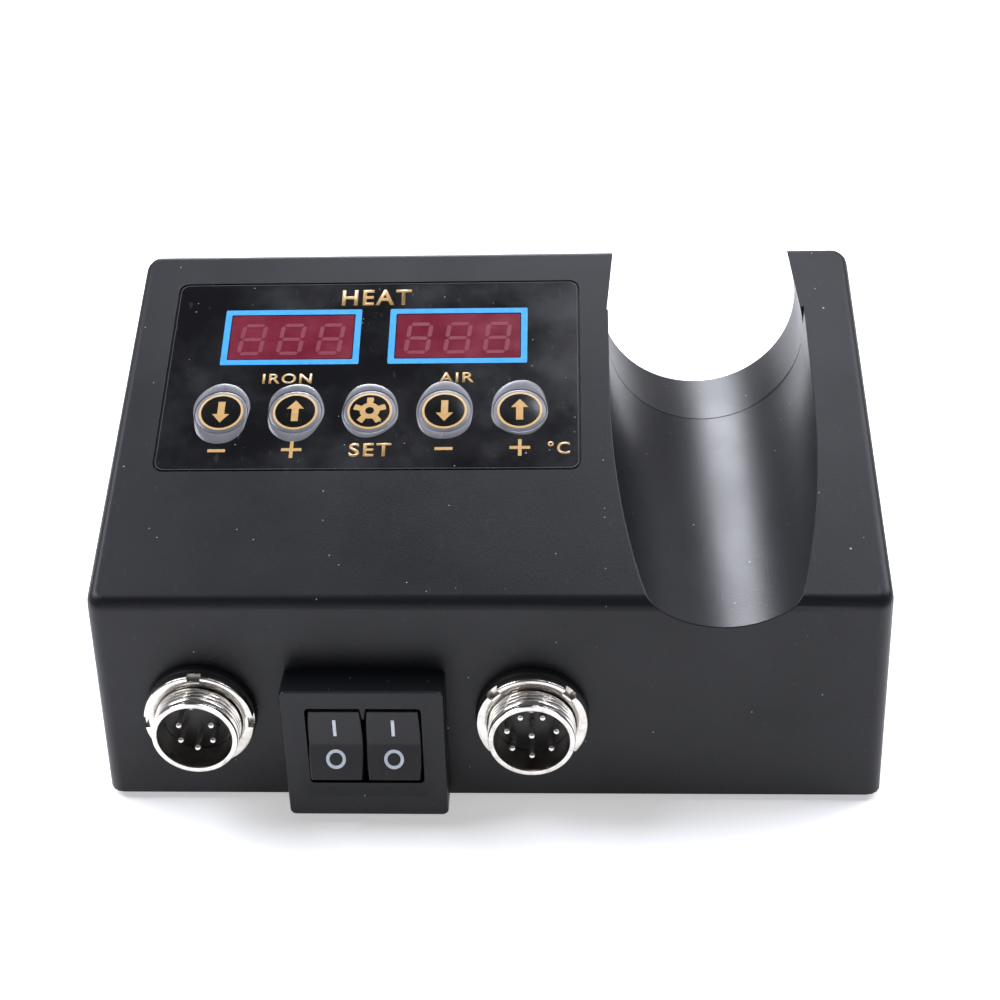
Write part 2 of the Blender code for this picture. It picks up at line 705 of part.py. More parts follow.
def make_tact_switches(look):
    for i in range(KEY_COUNT):
        bm = bmesh.new()
        x = key_x(i)
        low = (x - TACT_SIZE / 2, -KEY_FROM_TOP - TACT_SIZE / 2, BOARD_TOP + PART_GAP)
        high = (x + TACT_SIZE / 2, -KEY_FROM_TOP + TACT_SIZE / 2, BOARD_TOP + PART_GAP + TACT_HEIGHT)
        add_box(bm, low, high)
        finish(new_object("tact_switch_%d" % (i + 1), bm, PANEL), look)


def barrel_profile():
    """Half section of the threaded socket shell, with its flange behind the wall."""
    inner = BARREL_BORE
    flange_front = -WALL - PART_GAP
    profile = [(inner, SOCKET_BACK), (BARREL_RADIUS - THREAD_DEPTH, SOCKET_BACK),
               (BARREL_RADIUS - THREAD_DEPTH, flange_front - FLANGE_THICKNESS),
               (FLANGE_RADIUS, flange_front - FLANGE_THICKNESS), (FLANGE_RADIUS, flange_front),
               (BARREL_RADIUS - THREAD_DEPTH, flange_front)]
    start = THREAD_END - THREAD_TURNS * THREAD_PITCH
    profile.append((BARREL_RADIUS - THREAD_DEPTH, start))
    for i in range(THREAD_TURNS):
        root = start + i * THREAD_PITCH
        profile.append((BARREL_RADIUS, root + THREAD_PITCH * 0.45))
        profile.append((BARREL_RADIUS, root + THREAD_PITCH * 0.55))
        profile.append((BARREL_RADIUS - THREAD_DEPTH, root + THREAD_PITCH * 0.98))
    profile.append((BARREL_RADIUS - THREAD_DEPTH * 0.5, SOCKET_RIM - TURNED_EDGE))
    profile.append((BARREL_RADIUS - THREAD_DEPTH, SOCKET_RIM))
    profile.append((inner + TURNED_EDGE, SOCKET_RIM))
    profile.append((inner, SOCKET_RIM - TURNED_EDGE))
    return profile


def make_socket_shell(name, place, look):
    bm = bmesh.new()
    add_tube(bm, barrel_profile())
    shell = new_object("socket_shell_" + name, bm, place)
    bm = bmesh.new()
    levels = (INSERT_FACE + PART_GAP, SOCKET_RIM - 2 * TURNED_EDGE)
    add_loft(bm, [circle(NIB_RADIUS, z, 0.0, BARREL_BORE + NIB_REACH, 12) for z in levels])
    combine(shell, new_object("nib", bm, place), "UNION")
    finish(shell, look, math.radians(25.0))


def pin_places(index):
    """Positions of the pins on the socket's face: a ring, and a middle pin in the larger one."""
    radius = PIN_CIRCLE[index]
    places = []
    for angle in PIN_ANGLES[index]:
        a = math.radians(angle)
        places.append((radius * math.cos(a), radius * math.sin(a)))
    if PIN_IN_MIDDLE[index]:
        places.append((0.0, 0.0))
    return places


def make_socket_insert(index, place, look):
    name = SOCKET_NAMES[index]
    bm = bmesh.new()
    radius = BARREL_BORE - PIN_GAP
    levels = (INSERT_FACE - INSERT_LENGTH, INSERT_FACE)
    add_loft(bm, [circle(radius, z) for z in levels])
    insert = new_object("socket_insert_" + name, bm, place)
    bm = bmesh.new()
    for x, y in pin_places(index):
        add_loft(bm, [circle(PIN_RADIUS + PIN_GAP, z, x, y, 10) for z in (PIN_BACK, PIN_FRONT)])
    combine(insert, new_object("pin_holes", bm, place))
    finish(insert, look, math.radians(30.0))


def make_socket_pins(index, place, look):
    for i, (x, y) in enumerate(pin_places(index)):
        bm = bmesh.new()
        steps = ((1.0, PIN_BACK), (1.0, PIN_FRONT - PIN_TIP),
                 (0.75, PIN_FRONT - PIN_TIP / 4), (0.35, PIN_FRONT))
        rings = [circle(PIN_RADIUS * part, z, x, y, 10) for part, z in steps]
        add_loft(bm, rings)
        name = "pin_%s_%d" % (SOCKET_NAMES[index], i + 1)
        finish(new_object(name, bm, place), look, math.radians(40.0))


def make_socket_collar(name, place, look):
    """Plastic spacer between the front wall and the ring nut."""
    bm = bmesh.new()
    inner = BARREL_RADIUS + SOCKET_CLEARANCE
    base = PIN_GAP
    add_tube(bm, [(inner, base), (COLLAR_RADIUS, base),
                  (COLLAR_RADIUS, COLLAR_THICKNESS - TURNED_EDGE),
                  (COLLAR_RADIUS - TURNED_EDGE, COLLAR_THICKNESS),
                  (inner, COLLAR_THICKNESS)])
    finish(new_object("socket_collar_" + name, bm, place), look, math.radians(50.0))


def make_ring_nut(index, place, look):
    name = SOCKET_NAMES[index]
    bm = bmesh.new()
    inner = BARREL_RADIUS + PIN_GAP
    base = COLLAR_THICKNESS + PIN_GAP
    top = base + NUT_THICKNESS
    edge = TURNED_EDGE
    add_tube(bm, [(inner, base), (NUT_RADIUS, base), (NUT_RADIUS, top - edge),
                  (NUT_RADIUS - edge, top), (inner + edge, top), (inner, top - edge)])
    nut = new_object("ring_nut_" + name, bm, place)
    for i in range(NUT_SLOTS):
        turn = Matrix.Rotation(NUT_SLOT_TURN[index] + i * 2 * math.pi / NUT_SLOTS, 4, "Z")
        bm = bmesh.new()
        low = (-NUT_SLOT_WIDTH / 2, NUT_RADIUS - NUT_SLOT_DEPTH, top - NUT_SLOT_LENGTH)
        add_box(bm, low, (NUT_SLOT_WIDTH / 2, NUT_RADIUS * 1.2, top + NUT_THICKNESS))
        combine(nut, new_object("nut_slot", bm, place @ turn))
    finish(nut, look, math.radians(30.0))


def make_sockets(metal, black, collar_look, pin_look):
    for index, name in enumerate(SOCKET_NAMES):
        place = front_frame(SOCKET_X[index], SOCKET_Z[index])
        make_socket_shell(name, place, metal)
        make_socket_insert(index, place, black)
        make_socket_pins(index, place, pin_look)
        make_socket_collar(name, place, collar_look)
        make_ring_nut(index, place, metal)


def make_switch_housing(look):
    """Moulded body of the switch behind the shroud, a box that both rockers swing in."""
    place = front_frame(SHROUD_X, SWITCH_Z)
    face = SHROUD_OUT - DISH_DEPTH - SWITCH_LIP - PIN_GAP
    bm = bmesh.new()
    block = (HOUSING_WIDTH, HOUSING_HEIGHT, HOUSING_CORNER)
    add_loft(bm, [rounded_rectangle(*block, z) for z in (HOUSING_BACK, face)])
    housing = new_object("switch_housing", bm, place)
    bm = bmesh.new()
    width = SWITCH_MOUTH_WIDTH + PART_GAP
    height = SWITCH_MOUTH_HEIGHT + PART_GAP
    mouth = [rounded_rectangle(width, height, SWITCH_MOUTH_CORNER, z)
             for z in (face - SWITCH_MOUTH_DEPTH, face + WALL)]
    add_loft(bm, mouth)
    combine(housing, new_object("mouth", bm, place))
    finish(housing, look, math.radians(30.0))


def rocker_ring(t):
    """Section of a rocker at t, from -1 at its lower end to 1 at its upper end."""
    y = t * ROCKER_HALF_LENGTH
    face = ROCKER_REACH - (1 - abs(t)) * ROCKER_HALF_LENGTH * math.tan(ROCKER_TILT)
    face = max(face, ROCKER_REACH - ROCKER_HALF_LENGTH * math.tan(ROCKER_TILT) * 0.97)
    bulge = 1 - abs(t) ** 2.2
    half = (ROCKER_END_WIDTH + (ROCKER_MIDDLE_WIDTH - ROCKER_END_WIDTH) * bulge) / 2
    back = -ROCKER_BACK
    edge = ROCKER_EDGE
    outline = [(-half, back), (half, back), (half, face - edge), (half - edge * 0.3, face - edge * 0.3),
               (half - edge, face), (-half + edge, face), (-half + edge * 0.3, face - edge * 0.3),
               (-half, face - edge)]
    return [Vector((x, y, z)) for x, z in outline]


def make_rockers(look):
    """Two rockers at rest with their upper halves pressed in."""
    for index, sign in enumerate((-1, 1)):
        place = front_frame(SHROUD_X, SWITCH_Z)
        pivot = Matrix.Translation((sign * ROCKER_OFFSET, ROCKER_RISE, ROCKER_PIVOT_OUT))
        turn = Matrix.Rotation(-ROCKER_TILT, 4, "X")
        bm = bmesh.new()
        stations = [-1 + 2 * i / ROCKER_STATIONS for i in range(ROCKER_STATIONS + 1)]
        add_loft(bm, [rocker_ring(t) for t in stations])
        rocker = new_object("rocker_" + SOCKET_NAMES[index], bm, place @ pivot @ turn)
        move_origin(rocker, (place @ pivot).translation)
        finish(rocker, look, math.radians(20.0))


def plate_outline(z):
    lean = math.tan(DRAFT)
    inset = WALL + PLATE_GAP
    width = CASE_WIDTH - 2 * inset - 2 * z * lean
    depth = CASE_DEPTH - 2 * inset - 2 * z * lean
    return rounded_rectangle(width, depth, PLATE_CORNER, z, 0.0, CASE_DEPTH / 2, 2)


def make_base_plate(look):
    """Moulded cover that closes the underside, with vents, screw holes and board standoffs."""
    bm = bmesh.new()
    add_loft(bm, [plate_outline(z) for z in (PLATE_BOTTOM, PLATE_TOP)])
    plate = new_object("base_plate", bm, CASE_PLACE)
    bm = bmesh.new()
    for sx in (-1, 1):
        for sy in (-1, 1):
            x = POWER_BOARD_X + sx * (POWER_BOARD_WIDTH / 2 - STANDOFF_INSET)
            y = POWER_BOARD_Y + sy * (POWER_BOARD_DEPTH / 2 - STANDOFF_INSET)
            add_loft(bm, [circle(STANDOFF_RADIUS, z, x, y, 12) for z in (PLATE_TOP / 2, STANDOFF_TOP)])
    combine(plate, new_object("standoffs", bm, CASE_PLACE), "UNION")
    bm = bmesh.new()
    for x in (-BOSS_X, BOSS_X):
        for y in BOSS_Y:
            add_loft(bm, [circle(PLATE_HOLE_RADIUS, z, x, y, 12) for z in (-BELOW, BELOW)])
    for side in (-1, 1):
        for i in range(VENT_COUNT):
            x = side * BASE_VENT_X + (i - (VENT_COUNT - 1) / 2) * VENT_PITCH
            low = (x - VENT_WIDTH / 2, (CASE_DEPTH - VENT_LENGTH) / 2, -BELOW)
            add_box(bm, low, (x + VENT_WIDTH / 2, (CASE_DEPTH + VENT_LENGTH) / 2, BELOW))
    combine(plate, new_object("plate_holes", bm, CASE_PLACE))
    finish(plate, look)


def make_feet(look):
    number = 0
    for x in (-FOOT_INSET_X, FOOT_INSET_X):
        for y in FOOT_Y:
            number += 1
            bm = bmesh.new()
            top = PLATE_BOTTOM - PIN_GAP
            rings = [circle(FOOT_RADIUS - FOOT_EDGE, -FOOT_HEIGHT, x, y, 24),
                     circle(FOOT_RADIUS, -FOOT_HEIGHT + FOOT_EDGE, x, y, 24),
                     circle(FOOT_RADIUS, top, x, y, 24)]
            add_loft(bm, rings)
            finish(new_object("foot_%d" % number, bm, CASE_PLACE), look, math.radians(50.0))


def make_base_screws(look):
    number = 0
    for x in (-BOSS_X, BOSS_X):
        for y in BOSS_Y:
            number += 1
            bm = bmesh.new()
            under = PLATE_BOTTOM - PIN_GAP
            head = SCREW_HEAD_RADIUS
            steps = ((head * 0.7, -SCREW_HEAD_HEIGHT), (head, -SCREW_HEAD_HEIGHT / 2), (head, 0.0),
                     (BASE_SCREW_RADIUS, 0.0), (BASE_SCREW_RADIUS, BASE_SCREW_LENGTH),
                     (BASE_SCREW_RADIUS * 0.4, BASE_SCREW_LENGTH + SCREW_POINT))
            add_loft(bm, [circle(radius, under + z, x, y, 16) for radius, z in steps])
            screw = new_object("base_screw_%d" % number, bm, CASE_PLACE)
            place = CASE_PLACE @ Matrix.Translation((x, y, under - SCREW_HEAD_HEIGHT))
            for turn in (0.0, math.pi / 2):
                bm = bmesh.new()
                low = (-CROSS_HALF_LENGTH, -CROSS_HALF_WIDTH, -CROSS_DEPTH)
                add_box(bm, low, (CROSS_HALF_LENGTH, CROSS_HALF_WIDTH, CROSS_DEPTH))
                combine(screw, new_object("cross", bm, place @ Matrix.Rotation(turn, 4, "Z")))
            finish(screw, look, math.radians(30.0))


def make_power_board(look):
    bm = bmesh.new()
    half_width = POWER_BOARD_WIDTH / 2
    half_depth = POWER_BOARD_DEPTH / 2
    low = (POWER_BOARD_X - half_width, POWER_BOARD_Y - half_depth, POWER_BOARD_BOTTOM)
    top = POWER_BOARD_BOTTOM + BOARD_THICKNESS
    add_box(bm, low, (POWER_BOARD_X + half_width, POWER_BOARD_Y + half_depth, top))
    finish(new_object("power_board", bm, CASE_PLACE), look)


def make_transformer(look):
    """Ferrite core with a winding that stands out all round its middle."""
    width, depth, height = TRANSFORMER_SIZE
    base = POWER_BOARD_BOTTOM + BOARD_THICKNESS + PART_GAP
    bm = bmesh.new()
    lap = CORE_THICKNESS
    levels = ((0.0, 0.8), (lap, 0.8), (lap, 1.0), (height - lap, 1.0), (height - lap, 0.8), (height, 0.8))
    rings = [rounded_rectangle(width * part, depth * part, CORE_CORNER, base + z,
                               TRANSFORMER_X, TRANSFORMER_Y, 2) for z, part in levels]
    add_loft(bm, rings)
    finish(new_object("transformer", bm, CASE_PLACE), look)


def make_capacitor(look):
    base = POWER_BOARD_BOTTOM + BOARD_THICKNESS + PART_GAP
    bm = bmesh.new()
    steps = ((0.0, 1.0), (0.09, 1.0), (0.12, 0.92), (0.15, 1.0), (0.95, 1.0), (1.0, 0.9))
    rings = [circle(CAPACITOR_RADIUS * part, base + CAPACITOR_HEIGHT * share, CAPACITOR_X, CAPACITOR_Y, 24)
             for share, part in steps]
    add_loft(bm, rings)
    finish(new_object("capacitor", bm, CASE_PLACE), look, math.radians(30.0))


def make_gland(look, nut_look):
    """Bush for the mains cord and the nut that holds it from inside."""
    place = back_frame(GLAND_X, GLAND_Z)
    bm = bmesh.new()
    base = PIN_GAP
    top = base + GLAND_HEAD
    add_tube(bm, [(GLAND_BORE, base - GLAND_LENGTH), (GLAND_BODY_RADIUS, base - GLAND_LENGTH),
                  (GLAND_BODY_RADIUS, base), (GLAND_HEAD_RADIUS, base),
                  (GLAND_HEAD_RADIUS, base + GLAND_HEAD * 0.6),
                  (GLAND_HEAD_RADIUS - GLAND_CHAMFER, top), (GLAND_BORE + GLAND_LEAD_IN, top),
                  (GLAND_BORE, top - GLAND_LEAD_IN)], steps=28)
    finish(new_object("gland_bush", bm, place), look, math.radians(30.0))
    bm = bmesh.new()
    top = -WALL - PIN_GAP
    low = top - GLAND_NUT_THICKNESS
    steps = 24
    rows = []
    for z, hexagon in ((low, False), (top, False), (top, True), (low, True)):
        row = []
        for point in circle(GLAND_BODY_RADIUS + PIN_GAP, z, steps=steps):
            if hexagon:
                a = math.atan2(point.y, point.x)
                off = (a % (math.pi / 3)) - math.pi / 6
                reach = GLAND_NUT_RADIUS * math.cos(math.pi / 6) / math.cos(off)
                point = Vector((reach * math.cos(a), reach * math.sin(a), z))
            row.append(bm.verts.new(point))
        rows.append(row)
    for lower, upper in zip(rows, rows[1:] + rows[:1]):
        for i in range(steps):
            j = (i + 1) % steps
            bm.faces.new((lower[i], lower[j], upper[j], upper[i]))
    finish(new_object("gland_nut", bm, place), nut_look, math.radians(30.0))


def main():
    clear_scene()
    case_black = material("case_black", (0.035, 0.036, 0.040), 0.42)
    base_black = material("base_black", (0.030, 0.030, 0.032), 0.55)
    film_black = material("film_black", (0.012, 0.012, 0.014), 0.18)
    key_film = material("key_film", (0.030, 0.029, 0.027), 0.22)
    red_filter = material("red_filter", (0.20, 0.020, 0.035), 0.15)
    display_grey = material("display_grey", (0.10, 0.10, 0.11), 0.50)
    board_green = material("board_green", (0.020, 0.140, 0.060), 0.45)
    board_amber = material("board_amber", (0.30, 0.19, 0.07), 0.50)
    tact_black = material("tact_black", (0.020, 0.020, 0.020), 0.50)
    nickel = material("nickel", (0.78, 0.76, 0.72), 0.22, 1.0)
    pin_metal = material("pin_metal", (0.82, 0.80, 0.76), 0.20, 1.0)
    insert_black = material("insert_black", (0.015, 0.014, 0.013), 0.35)
    collar_black = material("collar_black", (0.022, 0.022, 0.024), 0.45)
    switch_black = material("switch_black", (0.020, 0.020, 0.022), 0.45)
    rocker_black = material("rocker_black", (0.030, 0.030, 0.033), 0.40)
    rubber = material("rubber", (0.025, 0.025, 0.025), 0.80)
    screw_steel = material("screw_steel", (0.45, 0.45, 0.46), 0.35, 1.0)
    winding = material("winding", (0.72, 0.60, 0.12), 0.50)
    sleeve = material("sleeve", (0.020, 0.030, 0.060), 0.35)
    gland_black = material("gland_black", (0.020, 0.020, 0.021), 0.50)

    make_shell(case_black)
    make_base_plate(base_black)
    make_feet(rubber)
    make_base_screws(screw_steel)
    make_panel_film(film_black)
    make_windows(red_filter)
    make_keys(key_film)
    make_control_board(board_green, screw_steel)
    make_displays(display_grey)
    make_tact_switches(tact_black)
    make_sockets(nickel, insert_black, collar_black, pin_metal)
    make_switch_housing(switch_black)
    make_rockers(rocker_black)
    make_power_board(board_amber)
    make_transformer(winding)
    make_capacitor(sleeve)
    make_gland(gland_black, gland_black)


main()
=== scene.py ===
"""Looks of a bench soldering and hot-air station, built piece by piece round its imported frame."""

import math

import bmesh
import bpy
from mathutils import Matrix, Vector


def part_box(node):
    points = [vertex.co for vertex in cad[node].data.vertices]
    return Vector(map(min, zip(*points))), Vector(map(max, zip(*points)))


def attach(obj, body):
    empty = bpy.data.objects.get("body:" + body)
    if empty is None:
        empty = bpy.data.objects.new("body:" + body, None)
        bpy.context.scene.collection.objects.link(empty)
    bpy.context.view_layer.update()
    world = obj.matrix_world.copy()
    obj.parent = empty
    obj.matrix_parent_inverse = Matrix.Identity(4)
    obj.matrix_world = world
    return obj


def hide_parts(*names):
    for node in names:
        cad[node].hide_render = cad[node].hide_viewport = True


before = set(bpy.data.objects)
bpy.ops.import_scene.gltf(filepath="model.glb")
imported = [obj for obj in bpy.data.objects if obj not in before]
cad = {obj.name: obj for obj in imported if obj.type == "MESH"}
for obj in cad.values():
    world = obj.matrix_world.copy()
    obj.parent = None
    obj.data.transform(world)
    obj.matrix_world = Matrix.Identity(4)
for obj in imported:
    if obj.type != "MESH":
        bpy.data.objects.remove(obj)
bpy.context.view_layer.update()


# ---------------------------------------------------------------- case
# The case is one black ABS moulding with a spark-eroded satin grain and a little draft on
# every wall. The hot-air handle rests in the trough on its right, which wears shiny.

CASE_FRONT = -0.03847
CASE_FLOOR = 0.0015
CASE_DEPTH = 0.082
DRAFT = math.radians(1.5)
FRONT_HEIGHT = 0.044
BACK_HEIGHT = 0.0755
FRONT_TOP = FRONT_HEIGHT * math.tan(DRAFT)
BACK_TOP = CASE_DEPTH - BACK_HEIGHT * math.tan(DRAFT)
SLOPE = math.atan2(BACK_HEIGHT - FRONT_HEIGHT, BACK_TOP - FRONT_TOP)
CASE = Matrix.Translation((0.0, CASE_FRONT, CASE_FLOOR))
CASE_BLACK = (0.0034, 0.0037, 0.0050)
CASE_RUBBED = (0.0062, 0.0066, 0.0084)
DUST_GREY = (0.42, 0.42, 0.43)
JOIN_WITHIN = 0.000002
CASE_CREASE = math.radians(36.0)
WALL_AREA = 0.00022
CRADLE_FRONT_X = 0.0424
CRADLE_REAR_X = 0.0419
CRADLE_FRONT_RADIUS = 0.0193
CRADLE_REAR_RADIUS = 0.0199
CRADLE_FRONT_AXIS_Z = 0.0579
CRADLE_REAR_AXIS_Z = 0.06365
CRADLE_TILT = math.radians(4.7)
CRADLE_SEAM_Y = 0.065
CRADLE_NEAR = 0.00006


def new_finish(name):
    """A new material with its shader and the piece's own coordinates in metres."""
    made = bpy.data.materials.new(name)
    made.use_nodes = True
    tree = made.node_tree
    where = tree.nodes.new("ShaderNodeTexCoord").outputs["Object"]
    return made, tree, tree.nodes["Principled BSDF"], where


def feed(tree, socket, value):
    """Puts a socket, a colour or a number into a node's input."""
    if isinstance(value, bpy.types.NodeSocket):
        tree.links.new(value, socket)
    elif isinstance(value, tuple) and len(value) == 3 and socket.type == "RGBA":
        socket.default_value = (*value, 1.0)
    else:
        socket.default_value = value


def stretched(tree, where, scale, turn=(0.0, 0.0, 0.0)):
    made = tree.nodes.new("ShaderNodeMapping")
    made.inputs["Scale"].default_value = scale
    made.inputs["Rotation"].default_value = turn
    feed(tree, made.inputs["Vector"], where)
    return made.outputs["Vector"]


def speckle(tree, where, scale, detail=3.0, rough=0.55):
    made = tree.nodes.new("ShaderNodeTexNoise")
    made.inputs["Scale"].default_value = scale
    made.inputs["Detail"].default_value = detail
    made.inputs["Roughness"].default_value = rough
    feed(tree, made.inputs["Vector"], where)
    return made.outputs["Fac"]


def graded(tree, value, stops, step=False):
    """Grey level along stops of (place, level)."""
    made = tree.nodes.new("ShaderNodeValToRGB")
    made.color_ramp.interpolation = "CONSTANT" if step else "LINEAR"
    points = made.color_ramp.elements
    while len(points) < len(stops):
        points.new(1.0)
    for point, (place, level) in zip(points, stops):
        point.position = place
        point.color = (level, level, level, 1.0)
    feed(tree, made.inputs["Fac"], value)
    return made.outputs["Color"]


def sum_of(tree, kind, first, second):
    made = tree.nodes.new("ShaderNodeMath")
    made.operation = kind
    feed(tree, made.inputs[0], first)
    feed(tree, made.inputs[1], second)
    return made.outputs[0]


def between(tree, amount, first, second):
    """Colour that goes from the first to the second by the amount."""
    made = tree.nodes.new("ShaderNodeMix")
    made.data_type = "RGBA"
    feed(tree, made.inputs[0], amount)
    feed(tree, made.inputs[6], first)
    feed(tree, made.inputs[7], second)
    return made.outputs[2]


def relief(tree, height, depth, under=None):
    """Bump of that many metres, on top of another bump if one is given."""
    made = tree.nodes.new("ShaderNodeBump")
    made.inputs["Strength"].default_value = 1.0
    made.inputs["Distance"].default_value = depth
    feed(tree, made.inputs["Height"], height)
    if under is not None:
        tree.links.new(under, made.inputs["Normal"])
    return made.outputs["Normal"]


def dust_specks(tree, where, density, share, size):
    """1 on small round specks of dust, which sit in a share of the cells."""
    made = tree.nodes.new("ShaderNodeTexVoronoi")
    made.inputs["Scale"].default_value = density
    feed(tree, made.inputs["Vector"], where)
    near = graded(tree, made.outputs["Distance"], [(0.0, 1.0), (size, 0.7), (size * 1.6, 0.0)])
    pick = tree.nodes.new("ShaderNodeSeparateColor")
    feed(tree, pick.inputs[0], made.outputs["Color"])
    chosen = sum_of(tree, "LESS_THAN", pick.outputs[0], share)
    return sum_of(tree, "MULTIPLY", near, chosen)


def hairlines(tree, where, turn, density):
    """1 along fine straight scratches that run one way."""
    thin = stretched(tree, where, (density, density * 0.02, density), (0.0, 0.0, turn))
    lines = speckle(tree, thin, 1.0, 2.0)
    return graded(tree, lines, [(0.0, 0.0), (0.685, 0.0), (0.72, 1.0)])


def moulded(name, colour, rubbed, rough, shine=0.3, grain=2600.0, depth=0.00002, dust=0.10, lines=0.35):
    """Moulded plastic: grain, handled patches, hairline scratches and dust."""
    made, tree, shader, where = new_finish(name)
    patches = speckle(tree, where, 38.0, 4.0, 0.6)
    handled = graded(tree, patches, [(0.38, 0.0), (0.68, 1.0)])
    body = between(tree, handled, colour, rubbed)
    scratch = hairlines(tree, where, 0.5, 900.0)
    scratch = sum_of(tree, "MAXIMUM", scratch, hairlines(tree, where, -0.9, 700.0))
    scratch = sum_of(tree, "MULTIPLY", scratch, lines)
    marked = between(tree, scratch, body, tuple(c * 2.6 for c in rubbed))
    coarse = dust_specks(tree, where, 260.0, dust * 0.7, 0.040)
    specks = sum_of(tree, "MAXIMUM", coarse, dust_specks(tree, where, 560.0, dust, 0.050))
    feed(tree, shader.inputs["Base Color"], between(tree, specks, marked, DUST_GREY))
    fine = speckle(tree, where, grain, 2.0)
    gloss = sum_of(tree, "MULTIPLY_ADD", handled, -0.07)
    tree.nodes[-1].inputs[2].default_value = rough
    gloss = sum_of(tree, "ADD", gloss, sum_of(tree, "MULTIPLY", fine, 0.06))
    feed(tree, shader.inputs["Roughness"], gloss)
    shader.inputs["Specular IOR Level"].default_value = shine
    low = relief(tree, speckle(tree, where, 120.0, 2.0), depth * 1.2)
    feed(tree, shader.inputs["Normal"], relief(tree, fine, depth, low))
    return made


def wear(node, look, round_edge=0.0, steps=2):
    """Gives a carried-over node its finish and, where it is sharp, a small edge radius."""
    obj = cad[node]
    obj.data.materials.clear()
    obj.data.materials.append(look)
    if round_edge:
        edge = obj.modifiers.new("edge", "BEVEL")
        edge.width = round_edge
        edge.segments = steps
        edge.limit_method = "ANGLE"
        edge.angle_limit = math.radians(40.0)
        edge.harden_normals = False
        edge.use_clamp_overlap = True


case_satin = moulded("case_satin", CASE_BLACK, CASE_RUBBED, 0.39, shine=0.30)


def smooth_copy(node):
    """The node's own mesh with its corners joined, so that round walls shade smoothly."""
    bm = bmesh.new()
    bm.from_mesh(cad[node].data)
    bmesh.ops.transform(bm, matrix=cad[node].matrix_world, verts=bm.verts)
    bmesh.ops.remove_doubles(bm, verts=bm.verts, dist=JOIN_WITHIN)
    return bm


def new_piece(name, bm, look, body, place=None, smooth=None):
    """Makes the piece, places it in the frame and lets it ride on its body."""
    if place is not None:
        bmesh.ops.transform(bm, matrix=place, verts=bm.verts)
    bmesh.ops.recalc_face_normals(bm, faces=bm.faces)
    mesh = bpy.data.meshes.new(name)
    bm.to_mesh(mesh)
    bm.free()
    mesh.materials.append(look)
    if smooth is not None:
        for face in mesh.polygons:
            face.use_smooth = True
        mesh.set_sharp_from_angle(angle=smooth)
    obj = bpy.data.objects.new(name, mesh)
    bpy.context.scene.collection.objects.link(obj)
    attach(obj, body)
    return obj


def trough_normal(point):
    """Normal of the trough's round wall at a point of it, or None away from the trough."""
    spot = CASE.inverted() @ point
    if spot.y < CRADLE_SEAM_Y + CRADLE_NEAR:
        centre, radius, tilt = CRADLE_FRONT_X, CRADLE_FRONT_RADIUS, math.tan(CRADLE_TILT)
        axis = CRADLE_FRONT_AXIS_Z + spot.y * tilt
    else:
        centre, radius, tilt, axis = CRADLE_REAR_X, CRADLE_REAR_RADIUS, 0.0, CRADLE_REAR_AXIS_Z
    out = Vector((spot.x - centre, 0.0, spot.z - axis))
    if spot.z > axis or abs(out.length - radius) > CRADLE_NEAR:
        return None
    return Vector((-out.x, out.z * tilt, -out.z)).normalized()


def eased_normals(obj, crease, wall_area):
    """Keeps broad walls flat, rolls the small radii into them and rounds the trough."""
    mesh = obj.data
    area = {}
    facing = [tuple(round(c, 2) for c in f.normal) for f in mesh.polygons]
    for f in mesh.polygons:
        area[facing[f.index]] = area.get(facing[f.index], 0.0) + f.area
    wall = [area[facing[f.index]] > wall_area for f in mesh.polygons]
    touching = [[] for v in mesh.vertices]
    for f in mesh.polygons:
        for v in f.vertices:
            touching[v].append(f)
    normals = []
    for f in mesh.polygons:
        middle = trough_normal(f.center)
        in_trough = middle is not None and middle.dot(f.normal) > math.cos(crease / 2)
        for v in f.vertices:
            round_wall = trough_normal(mesh.vertices[v].co) if in_trough else None
            near = [n for n in touching[v] if n.normal.dot(f.normal) > math.cos(crease)]
            near = [n for n in near if wall[n.index]] or near
            mixed = sum((n.normal * n.area for n in near), Vector()).normalized()
            normals.append(round_wall or (f.normal.copy() if wall[f.index] else mixed))
    mesh.normals_split_custom_set(normals)


bm = smooth_copy("shell")
case = new_piece("case_moulding", bm, case_satin, "station", None, CASE_CREASE)
eased_normals(case, CASE_CREASE, WALL_AREA)
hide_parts("shell")


# ---------------------------------------------------------------- trough parting line, with painted shade
# The trough was moulded over two steel cores. Where they met, a fine step runs round
# it from one notch to the other; the thin dark band laid along it is painted shade of that step.

SEAM_BACK_OFF = 0.00025
SEAM_WIDTH = 0.00016
SEAM_LIFT = 0.00002
SEAM_FROM = 186.0
SEAM_TO = 354.0
SEAM_STEPS = 84
SEAM_SHADE_BLACK = (0.0010, 0.0010, 0.0012)
SEAM_SHADE_RUBBED = (0.0020, 0.0020, 0.0024)

# Painted shade: this near-black, dull band stands for the shadow in the seam's step.
seam_painted_shade = moulded("seam_painted_shade", SEAM_SHADE_BLACK, SEAM_SHADE_RUBBED, 0.60, shine=0.1, dust=0.0)
bm = bmesh.new()
rows = []
for back_off, lift in ((0.0, 0.0), (SEAM_WIDTH, 0.0), (SEAM_WIDTH, SEAM_LIFT), (0.0, SEAM_LIFT)):
    y = CRADLE_SEAM_Y - SEAM_BACK_OFF - back_off
    axis = CRADLE_FRONT_AXIS_Z + y * math.tan(CRADLE_TILT)
    r = CRADLE_FRONT_RADIUS - SEAM_LIFT - lift
    arc = [math.radians(SEAM_FROM + (SEAM_TO - SEAM_FROM) * k / SEAM_STEPS) for k in range(SEAM_STEPS + 1)]
    rows.append([bm.verts.new((CRADLE_FRONT_X + r * math.cos(a), y, axis + r * math.sin(a))) for a in arc])
for one, two in zip(rows, rows[1:] + rows[:1]):
    for k in range(SEAM_STEPS):
        bm.faces.new((one[k], one[k + 1], two[k + 1], two[k]))
for end in (0, SEAM_STEPS):
    bm.faces.new([row[end] for row in rows])
new_piece("trough_parting_shade", bm, seam_painted_shade, "station", CASE, math.radians(30.0))


